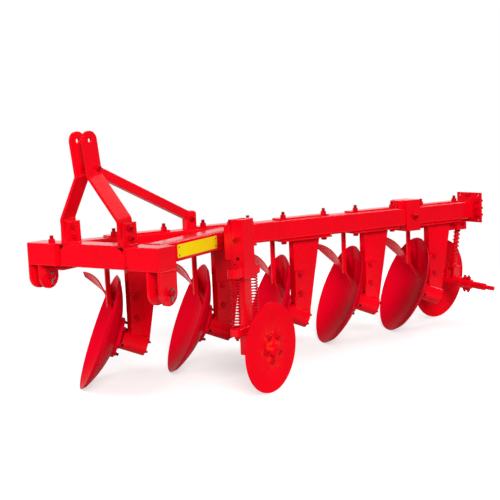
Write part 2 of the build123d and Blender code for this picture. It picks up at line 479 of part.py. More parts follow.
# Rear wheel: bracket under the beam end, sprung stem with fork, barrel and axle, wheel
rear_side = Vector(1, 0, 0).rotate(Axis.Z, -REAR_TURN)
rear_ahead = Vector(0, 0, 1).cross(rear_side)
rear_axle_dir = rear_side.rotate(Axis((0, 0, 0), rear_ahead), REAR_LEAN)
rear_up = rear_axle_dir.cross(rear_ahead)
rear_foot = place(REAR_X, REAR_Y) - rear_side * (rear_axle_dir.dot(rear_side) * WHEEL_T / 2)
rear_centre = rear_foot + rear_up * REAR_R - rear_axle_dir * (WHEEL_T / 2)
rear_axis = Plane(rear_centre, x_dir=rear_up, z_dir=rear_axle_dir)
stem_foot = rear_axis.from_local_coords((0, 0, REAR_STEM_AT))
stem_head = on_beam(REAR_BRACKET_RUN, REAR_BRACKET_REACH, REAR_BRACKET_Z)
stem_plane = Plane(stem_foot, x_dir=rear_axle_dir, z_dir=stem_head - stem_foot)
stem_length = (stem_head - stem_foot).length

with BuildPart() as rear_bracket:
    beam_box(REAR_BRACKET_RUN, REAR_BRACKET_REACH, REAR_BRACKET_Z, REAR_BRACKET_L, REAR_BRACKET_L,
             BEAM_BOTTOM - REAR_BRACKET_Z)
    beam_box(REAR_BRACKET_RUN - REAR_NOSE_AHEAD, REAR_BRACKET_REACH, REAR_BRACKET_Z, REAR_NOSE_L, REAR_NOSE_W,
             REAR_NOSE_H)
save(rear_bracket.part, "rear_bracket")

REAR_STEPS = [
    {"start": REAR_BARREL_START, "end": REAR_BARREL_END, "radius": REAR_BARREL_R},
    {"start": REAR_BARREL_END, "end": REAR_COLLAR_END, "radius": REAR_COLLAR_R},
    {"start": REAR_COLLAR_END, "end": REAR_SHAFT_END, "radius": REAR_SHAFT_R},
    {"start": REAR_SHAFT_END, "end": REAR_TIP_END, "radius": REAR_TIP_R},
    {"start": -AXLE_IN, "end": REAR_BARREL_START, "radius": AXLE_R},
]
with BuildPart() as rear_stem:
    for step in REAR_STEPS:
        with BuildSketch(rear_axis.offset(step["start"])):
            Circle(step["radius"])
        extrude(amount=step["end"] - step["start"])
    with BuildSketch(stem_plane):
        Circle(REAR_STEM_R)
    extrude(amount=stem_length + REAR_STEM_OVER)
    with BuildSketch(stem_plane):
        with GridLocations(REAR_FORK_W - REAR_FORK_T, 0, 2, 1):
            Rectangle(REAR_FORK_T, REAR_FORK_W)
    extrude(amount=REAR_FORK_H)
    with BuildSketch(stem_plane.offset(REAR_FORK_H - REAR_SEAT_T)):
        Rectangle(REAR_FORK_W, REAR_FORK_W)
    extrude(amount=REAR_SEAT_T)
    add(rear_bracket.part, mode=Mode.SUBTRACT)
save(rear_stem.part, "rear_stem")

rear_coil = coil_spring(stem_length - REAR_FORK_H + REAR_STEM_OVER, REAR_TURNS)
with BuildPart() as rear_spring:
    add(rear_coil.moved(stem_plane.offset(REAR_FORK_H).location))
    add(rear_bracket.part, mode=Mode.SUBTRACT)
save(rear_spring.part, "rear_spring")

# Both wheels: flat steel disc about local Z, its hub bored from below and capped by a dome
WHEELS = [
    {"name": "front_wheel", "radius": WHEEL_R, "at": wheel_axis.offset(WHEEL_X)},
    {"name": "rear_wheel", "radius": REAR_R, "at": Plane(rear_centre, x_dir=rear_up, z_dir=-rear_axle_dir)},
]
bore_r = AXLE_R + RUNNING_GAP
dome_rise = DOME_TOP - DOME_FOOT
dome_r = (WHEEL_HUB_R**2 + dome_rise**2) / (2 * dome_rise)
dome_mid = (WHEEL_HUB_R / 2, DOME_TOP - dome_r + sqrt(dome_r**2 - (WHEEL_HUB_R / 2) ** 2))
for row in WHEELS:
    with BuildPart() as wheel:
        with BuildSketch(Plane.XZ):
            with BuildLine():
                Polyline((bore_r, -HUB_FOOT), (WHEEL_HUB_R, -HUB_FOOT), (WHEEL_HUB_R, -HUB_FLANGE),
                         (WHEEL_FLANGE_R, -HUB_FLANGE), (WHEEL_FLANGE_R, -WHEEL_T / 2), (row["radius"], -WHEEL_T / 2),
                         (row["radius"], WHEEL_T / 2), (WHEEL_HUB_R, WHEEL_T / 2), (WHEEL_HUB_R, DOME_FOOT))
                ThreePointArc((WHEEL_HUB_R, DOME_FOOT), dome_mid, (0, DOME_TOP))
                Polyline((0, DOME_TOP), (0, WHEEL_BORE_END), (bore_r, WHEEL_BORE_END), (bore_r, -HUB_FOOT))
            make_face()
        revolve(axis=Axis.Z)
    save(wheel.part.moved(row["at"].location), row["name"])
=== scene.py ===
"""Looks of a five-disc mounted plough: paint, fasteners, weld beads, a blank panel and a plain studio.

Metres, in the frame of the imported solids. Places are given as on the drawing: from the foot of the
middle disc, or along the main beam from that foot (run), square to it (reach) and up. In the names of
sizes, half is half a width or half a spacing, t a thickness, circle the radius of a bolt circle and count
the bolts in it; top, under, face and back are surfaces. A size that needs more words is listed.
"""
import json
import logging
import math
from dataclasses import dataclass, replace
from enum import Enum
from typing import Sequence

import bmesh
import bpy
from mathutils import Matrix, Vector

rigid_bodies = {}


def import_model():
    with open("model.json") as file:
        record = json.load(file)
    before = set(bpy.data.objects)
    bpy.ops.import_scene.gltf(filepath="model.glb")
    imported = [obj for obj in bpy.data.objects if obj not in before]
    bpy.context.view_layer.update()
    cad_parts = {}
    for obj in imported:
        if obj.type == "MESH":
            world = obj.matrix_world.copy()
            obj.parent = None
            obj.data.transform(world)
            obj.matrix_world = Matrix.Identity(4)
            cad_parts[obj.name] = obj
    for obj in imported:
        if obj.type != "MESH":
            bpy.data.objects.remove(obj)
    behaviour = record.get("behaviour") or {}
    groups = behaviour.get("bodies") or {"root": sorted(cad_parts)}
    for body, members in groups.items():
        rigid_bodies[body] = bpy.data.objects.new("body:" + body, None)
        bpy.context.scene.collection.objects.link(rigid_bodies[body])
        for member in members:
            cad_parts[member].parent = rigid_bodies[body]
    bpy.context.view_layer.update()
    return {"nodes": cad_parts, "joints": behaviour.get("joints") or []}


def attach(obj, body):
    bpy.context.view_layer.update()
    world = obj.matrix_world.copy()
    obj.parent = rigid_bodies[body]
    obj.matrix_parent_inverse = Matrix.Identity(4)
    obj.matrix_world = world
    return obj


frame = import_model()
LOG = logging.getLogger("plough")
FRAME_BODY = "frame"
UNIT_COUNT = 5
SIDES = (-1, 1)
PRINCIPLED = "Principled BSDF"

Pair = tuple[float, float]
Triple = tuple[float, float, float]
Socket = bpy.types.NodeSocket
Sockets = bpy.types.bpy_prop_collection
Feeds = dict[str | int, object]


class Slot(Enum):
    """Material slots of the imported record."""

    PAINT = "red_paint"
    STEEL = "steel"


@dataclass
class Datum:
    """Main datums of the plough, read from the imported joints.

    Attributes:
        disc_radius: Radius of a disc.
        beam_angle: Angle of the main beam to the way of travel, in degrees.
    """

    disc_radius: float = 0.330
    beam_angle: float = 24.0

    def __post_init__(self) -> None:
        """Work out the foot of the middle disc and the beam's directions."""
        self.joints = {joint["name"]: joint for joint in frame["joints"]}
        turn = math.radians(self.beam_angle)
        self.along = Vector((math.sin(turn), math.cos(turn), 0.0))
        self.land = Vector((math.cos(turn), -math.sin(turn), 0.0))
        self.up = Vector((0.0, 0.0, 1.0))
        middle, axis = self.hinge("disc_3_spin")
        self.disc_up = (self.up - axis * axis.z).normalized()
        self.foot = middle - self.disc_up * self.disc_radius

    def hinge(self, name: str) -> tuple[Vector, Vector]:
        """Return a joint's place and axis."""
        joint = self.joints[name]
        return Vector(joint["pos_m"]), Vector(joint["axis"]).normalized()

    def place(self, x: float, y: float, z: float) -> Vector:
        """Return a point measured from the foot of the middle disc."""
        return self.foot + Vector((x, y, z))

    def on_beam(self, run: float, reach: float, z: float) -> Vector:
        """Return a point given along the beam, square to it and up."""
        return self.foot + self.along * run + self.land * reach + self.up * z


DATUM = Datum()


@dataclass(frozen=True)
class PaintFinish:
    """Gloss paint on steel.

    Attributes:
        name: Material name.
        colour: Base colour, linear.
        shade: Colour of the thinner or duller patches.
        roughness: Roughness of clean paint.
        peel: Height of the orange-peel ripple.
        peel_scale: Ripples for each metre.
        ior: Index of refraction of the paint film.
        edge: Radius to which the paint rounds an edge.
    """

    name: str
    colour: Triple
    shade: Triple
    roughness: float = 0.16
    peel: float = 0.05
    peel_scale: float = 210.0
    ior: float = 1.2
    edge: float = 0.0035


@dataclass(frozen=True)
class MetalFinish:
    """Bare or plated metal.

    Attributes:
        name: Material name.
        colour: Base colour, linear.
        shade: Colour of the stained patches.
        roughness: Roughness of clean metal.
        grain: Streaks for each metre.
    """

    name: str
    colour: Triple
    shade: Triple
    roughness: float = 0.32
    grain: float = 160.0


@dataclass(frozen=True)
class Scuff:
    """Rubbed paint round a hub.

    Attributes:
        colour: Colour of the rubbed places.
        scale: Spots for each metre.
        spots: Noise levels at which a spot begins and is full.
        reach: Distances from the hub at which the spots begin to fade and end.
    """

    colour: Triple
    scale: float
    spots: Pair
    reach: Pair


RED = PaintFinish("red_gloss_paint", (0.86, 0.0006, 0.010), (0.70, 0.0004, 0.007), ior=1.34, edge=0.005)
RED_CAST = PaintFinish("red_paint_on_castings", (0.88, 0.0006, 0.010), (0.68, 0.0004, 0.007),
                       roughness=0.17, peel=0.08, peel_scale=120.0, ior=1.24)
# The discs get a darker red than the other paint: painted shade on the discs' faces.
RED_DISC_DARKENED_FOR_SHADE = PaintFinish("red_paint_on_discs_darkened_for_shade", (0.70, 0.0006, 0.014), (0.62, 0.0005, 0.012),
                       roughness=0.2, peel=0.01, ior=1.07)
RED_WHEEL = PaintFinish("red_paint_on_wheels", (0.88, 0.0006, 0.010), (0.76, 0.0005, 0.008),
                        roughness=0.2, peel=0.02, ior=1.07)
RED_BLADE = PaintFinish("red_paint_on_scrapers", (0.84, 0.0008, 0.012), (0.70, 0.0006, 0.009),
                        roughness=0.14, peel=0.03, ior=1.42)
RED_COIL = PaintFinish("red_paint_on_coils", (0.74, 0.0008, 0.010), (0.45, 0.0005, 0.006),
                       roughness=0.3, peel=0.1)
RED_NUT = PaintFinish("red_paint_on_fasteners", (0.78, 0.001, 0.010), (0.45, 0.0006, 0.006),
                      roughness=0.22, peel=0.1, edge=0.001)
RED_STUD = PaintFinish("red_paint_on_bolt_ends", (0.46, 0.001, 0.008), (0.22, 0.0006, 0.004),
                       roughness=0.3, peel=0.1, edge=0.0008)
RED_RUBBED = replace(RED_WHEEL, name="red_paint_on_front_wheel")
HUB_RUB = Scuff((0.60, 0.060, 0.012), 42.0, (0.52, 0.70), (0.070, 0.160))
YELLOW = PaintFinish("yellow_panel", (0.84, 0.68, 0.006), (0.80, 0.62, 0.005), roughness=0.3, peel=0.02)
# Bare dark steel of the hub and cap bolt ends; on the sleeve's hole disc this dark face is painted shade.
DARK_STEEL_AND_HOLE_SHADE = MetalFinish("dark_bolt_end_and_hole_shade", (0.028, 0.012, 0.012), (0.05, 0.02, 0.018), roughness=0.42)
ZINC = MetalFinish("zinc_plated_pin", (0.52, 0.51, 0.49), (0.34, 0.33, 0.31))


class Nodes:
    """A node tree with short ways to add and join its nodes."""

    def __init__(self, tree: bpy.types.NodeTree) -> None:
        """Keep the tree that gets the nodes."""
        self.tree = tree

    def fill(self, inputs: Sockets, feeds: Feeds) -> None:
        """Set a node's inputs to values, or link them.

        Args:
            inputs: The node's inputs.
            feeds: By name or number: a value, a socket or a list of sockets.
        """
        for key, feed in feeds.items():
            for source in feed if isinstance(feed, list) else [feed]:
                if isinstance(source, Socket):
                    self.tree.links.new(source, inputs[key])
                else:
                    inputs[key].default_value = source

    def add(self, kind: str, feeds: Feeds | None = None, **settings: object) -> Sockets:
        """Add a node.

        Args:
            kind: The node's type name.
            feeds: What its inputs get.
            **settings: Its properties.

        Returns:
            The node's outputs.
        """
        node = self.tree.nodes.new(kind)
        for key, value in settings.items():
            setattr(node, key, value)
        self.fill(node.inputs, feeds or {})
        return node.outputs

    def math(self, operation: str, *values: Socket | float) -> Socket:
        """Return the result of one sum of values and sockets."""
        return self.add("ShaderNodeMath", dict(enumerate(values)), operation=operation)["Value"]

    def mix(self, factor: Socket, first: Socket | float, second: Socket | float) -> Socket:
        """Return a value between two values."""
        return self.add("ShaderNodeMix", {"Factor": factor, "A": first, "B": second}, data_type="FLOAT")["Result"]

    def blend(self, factor: Socket, first: Socket | Triple, second: Triple) -> Socket:
        """Return a colour between two colours."""
        start = first if isinstance(first, Socket) else (*first, 1.0)
        return self.add("ShaderNodeMix", {"Factor": factor, 6: start, 7: (*second, 1.0)}, data_type="RGBA")[2]

    def ramp(self, value: Socket, source: Pair, target: Pair = (0.0, 1.0), shape: str = "LINEAR") -> Socket:
        """Return a value carried from one span to another.

        Args:
            value: The value.
            source: Span that it comes from.
            target: Span that it goes to.
            shape: Interpolation of the map.

        Returns:
            The new value.
        """
        feeds = {"Value": value, "From Min": source[0], "From Max": source[1],
                 "To Min": target[0], "To Max": target[1]}
        return self.add("ShaderNodeMapRange", feeds, interpolation_type=shape)["Result"]

    def place(self) -> Socket:
        """Return the Object coordinates."""
        return self.add("ShaderNodeTexCoord")["Object"]

    def noise(self, place: Socket, scale: Socket | float, detail: float) -> Socket:
        """Return the value of a noise texture."""
        return self.add("ShaderNodeTexNoise", {"Vector": place, "Scale": scale, "Detail": detail})["Fac"]


class Entry(Enum):
    """Socket types of group inputs that take no number."""

    GEOMETRY = "NodeSocketGeometry"
    MATERIAL = "NodeSocketMaterial"


GroupInputs = dict[str, float | int | Entry]


class NodeGroup(Nodes):
    """A node group with named inputs and one output, for shaders unless a subclass says otherwise."""

    TREE = "ShaderNodeTree"
    OUTPUT = "NodeSocketFloat"
    NUMBERS = {float: "NodeSocketFloat", int: "NodeSocketInt"}

    def __init__(self, name: str, inputs: GroupInputs, output: str) -> None:
        """Make the group and its sockets.

        Args:
            name: Group name.
            inputs: Default or socket type of each named input.
            output: Name of the output.
        """
        super().__init__(bpy.data.node_groups.new(name, self.TREE))
        interface = self.tree.interface
        self.ids: dict[str, str] = {}
        for label, default in inputs.items():
            entry = default.value if isinstance(default, Entry) else self.NUMBERS[type(default)]
            socket = interface.new_socket(label, in_out="INPUT", socket_type=entry)
            if not isinstance(default, Entry):
                socket.default_value = default
            self.ids[label] = socket.identifier
        interface.new_socket(output, in_out="OUTPUT", socket_type=self.OUTPUT)
        self.start = self.add("NodeGroupInput")

    def close(self, result: Socket) -> None:
        """Feed the group's output."""
        self.add("NodeGroupOutput", {0: result})


class PaintShop:
    """Builds the shared shader groups once and one material for each finish."""

    # How much rougher the duller patches of paint and metal are.
    PAINT_DULLING = 1.5
    METAL_DULLING = 1.7
    METAL_PATCHES = 24.0
    PATCH_LEVELS = (0.35, 0.68)
    SWELL_SHARE = 2.0
    RIPPLE_DEPTH = 0.002
    EDGE_SAMPLES = 6

    def __init__(self) -> None:
        """Build the shared groups."""
        self.patches = self._patches()
        self.peel = self._peel()
        self.made: dict[str, bpy.types.Material] = {}

    def _patches(self) -> bpy.types.NodeTree:
        """Build the group of broad and fine tone changes."""
        group = NodeGroup("tone_patches", {"Broad Scale": 3.0, "Fine Scale": 40.0, "Fine Share": 0.35}, "Mask")
        place = group.place()
        broad = group.noise(place, group.start["Broad Scale"], 3.0)
        fine = group.noise(place, group.start["Fine Scale"], 5.0)
        group.close(group.ramp(group.mix(group.start["Fine Share"], broad, fine), self.PATCH_LEVELS))
        return group.tree

    def _peel(self) -> bpy.types.NodeTree:
        """Build the group of the sprayed ripple and the rolled steel under it."""
        group = NodeGroup("sprayed_ripple", {"Scale": 200.0, "Run Scale": 9.0}, "Height")
        place = group.place()
        ripple = group.noise(place, group.start["Scale"], 2.0)
        swell = group.noise(place, group.start["Run Scale"], 1.0)
        group.close(group.math("MULTIPLY_ADD", swell, self.SWELL_SHARE, ripple))
        return group.tree

    def _base(self, finish: PaintFinish | MetalFinish, dulling: float, scales: Feeds) -> tuple[Nodes, Sockets]:
        """Make a material with the colour and roughness of the tone patches.

        Args:
            finish: Colours and roughness.
            dulling: How much rougher the patches are.
            scales: Inputs of the patches.

        Returns:
            The material's nodes and the inputs of its Principled node.
        """
        material = bpy.data.materials.new(finish.name)
        material.use_nodes = True
        self.made[finish.name] = material
        nodes = Nodes(material.node_tree)
        shader = material.node_tree.nodes[PRINCIPLED].inputs
        mask = nodes.add("ShaderNodeGroup", scales, node_tree=self.patches)["Mask"]
        nodes.fill(shader, {
            "Base Color": nodes.blend(mask, finish.shade, finish.colour),
            "Roughness": nodes.ramp(mask, (0.0, 1.0), (finish.roughness * dulling, finish.roughness))})
        return nodes, shader

    def paint(self, finish: PaintFinish) -> bpy.types.Material:
        """Return the material of a paint finish, built on first use."""
        if finish.name not in self.made:
            nodes, shader = self._base(finish, self.PAINT_DULLING, {})
            peel = nodes.add("ShaderNodeGroup", {"Scale": finish.peel_scale}, node_tree=self.peel)["Height"]
            edge = nodes.add("ShaderNodeBevel", {"Radius": finish.edge}, samples=self.EDGE_SAMPLES)["Normal"]
            bump = nodes.add("ShaderNodeBump", {"Strength": finish.peel, "Distance": self.RIPPLE_DEPTH,
                                                "Height": peel, "Normal": edge})["Normal"]
            nodes.fill(shader, {"IOR": finish.ior, "Normal": bump})
        return self.made[finish.name]

    def scuffed(self, finish: PaintFinish, scuff: Scuff, hub: Vector) -> bpy.types.Material:
        """Return the material of a paint finish that is rubbed round a hub.

        Args:
            finish: The paint, used by this material alone.
            scuff: Colour and spread of the rubbed places.
            hub: Middle of the hub in the object's own coordinates.

        Returns:
            The material.
        """
        material = self.paint(finish)
        nodes = Nodes(material.node_tree)
        shader = material.node_tree.nodes[PRINCIPLED].inputs
        clean = shader["Base Color"].links[0].from_socket
        place = nodes.place()
        spots = nodes.ramp(nodes.noise(place, scuff.scale, 4.0), scuff.spots)
        away = nodes.add("ShaderNodeVectorMath", {0: place, 1: hub}, operation="DISTANCE")["Value"]
        near = nodes.ramp(away, scuff.reach, (1.0, 0.0), "SMOOTHSTEP")
        nodes.fill(shader, {"Base Color": nodes.blend(nodes.math("MULTIPLY", spots, near), clean, scuff.colour)})
        return material

    def metal(self, finish: MetalFinish) -> bpy.types.Material:
        """Return the material of a metal finish, built on first use."""
        if finish.name not in self.made:
            scales = {"Broad Scale": self.METAL_PATCHES, "Fine Scale": finish.grain}
            nodes, shader = self._base(finish, self.METAL_DULLING, scales)
            nodes.fill(shader, {"Metallic": 1.0})
        return self.made[finish.name]


@dataclass(frozen=True)
class SoftBox:
    """One soft box that faces the plough.

    Attributes:
        name: Lamp name.
        at: Place from the foot of the middle disc.
        size: Width and height.
        watts: Power.
        glossy: Whether gloss shows it.
    """

    name: str
    at: Triple
    size: Pair
    watts: float
    glossy: bool = False


# The main box hangs high at the land side, one faces the discs and a strip hangs behind.
SOFT_BOXES = (
    SoftBox("main_box", (9.3, -9.0, 7.1), (6.0, 6.0), 2120.0),
    SoftBox("disc_box", (-4.5, -4.5, 3.5), (3.0, 3.0), 290.0),
    SoftBox("strip_box", (1.5, 3.3, 4.0), (1.0, 3.2), 85.0, glossy=True),
)


@dataclass
class Studio:
    """Camera, lamps, floor and background.

    Attributes:
        camera_at: Camera place from the foot of the middle disc.
        azimuth: Camera bearing from straight ahead of the plough, in degrees.
        elevation: Downward tilt of the camera, in degrees.
        focal_px: Focal length in pixels of the square image.
        ambient: Strength of the even light from all round.
        behind: What gloss shows of the white background.
        before: What gloss shows of the room on the camera's side.
        turning: Cosines to the camera's bearing between which before goes over to behind.
        floor_glow: Whiteness that the floor has to the camera alone, by the plough and at the rim.
        glow_reach: Distances from the middle between which the whiteness grows.
    """

    camera_at: Triple = (3.202, -4.611, 1.367)
    azimuth: float = 34.42
    elevation: float = 7.21
    roll: float = -2.40
    focal_px: float = 925.33
    image_px: float = 500.0
    sensor: float = 36.0
    lamp_target: Triple = (0.25, 0.2, 0.55)
    ambient: float = 0.20
    behind: float = 0.95
    before: float = 0.10
    turning: Pair = (0.40, 0.85)
    floor_radius: float = 3.4
    floor_sides: int = 96
    floor_tone: float = 0.55
    floor_roughness: float = 0.9
    floor_glow: Pair = (0.56, 0.95)
    glow_reach: Pair = (1.3, 3.0)

    def build(self) -> None:
        """Set up the whole studio."""
        bpy.context.scene.view_settings.view_transform = "Standard"
        self._camera()
        self._world()
        self._lamps()
        self._floor()

    def _camera(self) -> None:
        """Place the camera at the photograph's view."""
        a, e, r = (math.radians(v) for v in (self.azimuth, self.elevation, self.roll))
        right = Vector((math.cos(a), math.sin(a), 0.0))
        up = Vector((-math.sin(a) * math.sin(e), math.cos(a) * math.sin(e), math.cos(e)))
        ahead = Vector((-math.sin(a) * math.cos(e), math.cos(a) * math.cos(e), -math.sin(e)))
        tilted_right = right * math.cos(r) + up * math.sin(r)
        tilted_up = up * math.cos(r) - right * math.sin(r)
        data = bpy.data.cameras.new("camera")
        data.lens = self.focal_px / self.image_px * self.sensor
        data.sensor_width = self.sensor
        camera = bpy.data.objects.new("camera", data)
        turn = Matrix((tilted_right, tilted_up, -ahead)).transposed().to_4x4()
        camera.matrix_world = Matrix.Translation(DATUM.place(*self.camera_at)) @ turn
        bpy.context.collection.objects.link(camera)
        bpy.context.scene.camera = camera

    def _world(self) -> None:
        """White to the camera and to gloss that looks past the plough, an even light to the rest."""
        world = bpy.data.worlds.new("studio")
        world.use_nodes = True
        nodes = Nodes(world.node_tree)
        ray = nodes.add("ShaderNodeLightPath")
        a = math.radians(self.azimuth)
        facing = nodes.add("ShaderNodeVectorMath", {
            0: nodes.add("ShaderNodeTexCoord")["Generated"], 1: (-math.sin(a), math.cos(a), 0.0)},
            operation="DOT_PRODUCT")["Value"]
        back = nodes.ramp(facing, self.turning, (self.before, self.behind), "SMOOTHSTEP")
        gloss = nodes.mix(ray["Is Glossy Ray"], self.ambient, back)
        nodes.fill(world.node_tree.nodes["Background"].inputs, {
            "Color": (1.0, 1.0, 1.0, 1.0), "Strength": nodes.mix(ray["Is Camera Ray"], gloss, 1.0)})
        bpy.context.scene.world = world

    def _lamps(self) -> None:
        """Hang the soft boxes."""
        target = DATUM.place(*self.lamp_target)
        for box in SOFT_BOXES:
            data = bpy.data.lights.new(box.name, "AREA")
            data.shape = "RECTANGLE"
            data.size, data.size_y = box.size
            data.energy = box.watts
            lamp = bpy.data.objects.new(box.name, data)
            lamp.location = DATUM.place(*box.at)
            lamp.rotation_mode = "QUATERNION"
            lamp.rotation_quaternion = (target - lamp.location).to_track_quat("-Z", "Y")
            lamp.visible_glossy = box.glossy
            bpy.context.collection.objects.link(lamp)

    def _floor(self) -> None:
        """Lay the round pale floor, white to the camera where no shadow falls."""
        shape = bmesh.new()
        bmesh.ops.create_circle(shape, cap_ends=True, segments=self.floor_sides, radius=self.floor_radius)
        mesh = bpy.data.meshes.new("floor")
        shape.to_mesh(mesh)
        shape.free()
        floor = bpy.data.objects.new("floor", mesh)
        material = bpy.data.materials.new("pale_floor")
        material.use_nodes = True
        nodes = Nodes(material.node_tree)
        away = nodes.add("ShaderNodeVectorMath", {0: nodes.place()}, operation="LENGTH")["Value"]
        level = nodes.ramp(away, self.glow_reach, self.floor_glow)
        seen = nodes.add("ShaderNodeLightPath")["Is Camera Ray"]
        nodes.fill(material.node_tree.nodes[PRINCIPLED].inputs, {
            "Base Color": (self.floor_tone, self.floor_tone, self.floor_tone, 1.0),
            "Roughness": self.floor_roughness, "Specular IOR Level": 0.0,
            "Emission Color": (1.0, 1.0, 1.0, 1.0), "Emission Strength": nodes.math("MULTIPLY", seen, level)})
        mesh.materials.append(material)
        bpy.context.collection.objects.link(floor)


class GeometryTree(NodeGroup):
    """A Geometry Nodes tree that is run on a seed mesh."""

    TREE = "GeometryNodeTree"
    OUTPUT = "NodeSocketGeometry"

    def __init__(self, name: str, inputs: GroupInputs) -> None:
        """Make the tree and its sockets.

        Args:
            name: Tree name.
            inputs: Default or socket type of each named input.
        """
        super().__init__(name, {"Geometry": Entry.GEOMETRY, **inputs}, "Geometry")

    def cylinder(self, sides: Socket | int, radius: Socket, depth: Socket) -> Socket:
        """Return a cylinder about Z."""
        feeds = {"Vertices": sides, "Radius": radius, "Depth": depth}
        return self.add("GeometryNodeMeshCylinder", feeds)["Mesh"]

    def circle(self, steps: int, radius: Socket) -> Socket:
        """Return a circle as a curve."""
        return self.add("GeometryNodeCurvePrimitiveCircle", {"Resolution": steps, "Radius": radius})["Curve"]

    def join(self, parts: list[Socket]) -> Socket:
        """Return parts as one geometry."""
        return self.add("GeometryNodeJoinGeometry", {"Geometry": parts})["Geometry"]

    def lift(self, mesh: Socket, height: Socket) -> Socket:
        """Return a mesh raised along Z by a value."""
        offset = self.add("ShaderNodeCombineXYZ", {"Z": height})["Vector"]
        return self.add("GeometryNodeTransform", {"Geometry": mesh, "Translation": offset})["Geometry"]

    def smooth(self, geometry: Socket) -> Socket:
        """Return geometry with smooth shading."""
        return self.add("GeometryNodeSetShadeSmooth", {"Geometry": geometry})["Geometry"]

    def realize(self, geometry: Socket) -> Socket:
        """Return geometry with its instances made real."""
        return self.add("GeometryNodeRealizeInstances", {"Geometry": geometry})["Geometry"]

    def paint(self, geometry: Socket, label: str, **feeds: Socket) -> Socket:
        """Return geometry with the material of a named input."""
        feeds = {"Geometry": geometry, "Material": self.start[label], **feeds}
        return self.add("GeometryNodeSetMaterial", feeds)["Geometry"]

    def run(self, name: str, seed: bpy.types.Mesh, values: dict[str, object]) -> bpy.types.Mesh:
        """Evaluate the tree on a seed mesh.

        Args:
            name: Name of the result.
            seed: Points or edges that the tree works on.
            values: Named inputs of this run.

        Returns:
            A plain mesh.
        """
        carrier = bpy.data.objects.new(f"{name}_seed", seed)
        bpy.context.collection.objects.link(carrier)
        modifier = carrier.modifiers.new("shape", "NODES")
        modifier.node_group = self.tree
        for label, value in values.items():
            modifier[self.ids[label]] = value
        graph = bpy.context.evaluated_depsgraph_get()
        mesh = bpy.data.meshes.new_from_object(carrier.evaluated_get(graph), preserve_all_data_layers=True,
                                               depsgraph=graph)
        carrier.modifiers.remove(modifier)
        bpy.data.objects.remove(carrier)
        mesh.name = name
        return mesh


@dataclass(frozen=True)
class HexSize:
    """Sizes of one kind of bolt end.

    Attributes:
        radius: Half the width over the corners.
        stud_radius: Radius of the bolt end that shows.
        stud_length: How far that end stands proud.
        dark: Whether the bolt end is bare and dark. On the sleeve's hole disc the dark face is painted shade.
    """

    radius: float
    height: float
    stud_radius: float
    stud_length: float
    washer_radius: float
    washer_height: float
    sides: int = 6
    dark: bool = False

    def inputs(self) -> dict[str, float | int]:
        """Return the sizes by the names of the tree's inputs, such as Stud Radius."""
        return {name.replace("_", " ").title(): size for name, size in vars(self).items() if name != "dark"}


class BoltKind(Enum):
    """Bolt ends on the plough."""

    BEAM_NUT = HexSize(0.0173, 0.016, 0.010, 0.017, 0.0190, 0.003)
    BEAM_HEAD = HexSize(0.0173, 0.013, 0.004, 0.0005, 0.0190, 0.003)
    PLATE_NUT = HexSize(0.0139, 0.013, 0.008, 0.009, 0.0155, 0.0025)
    PLATE_HEAD = HexSize(0.0139, 0.010, 0.003, 0.0005, 0.0155, 0.0025)
    HUB_NUT = HexSize(0.0120, 0.012, 0.0075, 0.0120, 0.0135, 0.0010, dark=True)
    CAP_BOLT = HexSize(0.0085, 0.007, 0.0050, 0.0060, 0.0095, 0.0010, dark=True)
    WHEEL_NUT = HexSize(0.0139, 0.012, 0.007, 0.005, 0.0160, 0.002)
    GREASER = HexSize(0.0065, 0.006, 0.0035, 0.007, 0.0070, 0.001)
    RIVET = HexSize(0.0045, 0.0016, 0.002, 0.0004, 0.0050, 0.0004, sides=16)
    # Not a bolt end: a flat disc with a dark face, painted as the shade inside the sleeve's hole.
    SOCKET = HexSize(0.0105, 0.0012, 0.0085, 0.0003, 0.0115, 0.0005, sides=24, dark=True)


@dataclass(frozen=True)
class Bolt:
    """Seat and way out of one bolt end."""

    at: Vector
    axis: Vector


@dataclass(frozen=True)
class Bead:
    """Path of one weld bead."""

    points: tuple[Vector, ...]
    closed: bool = True


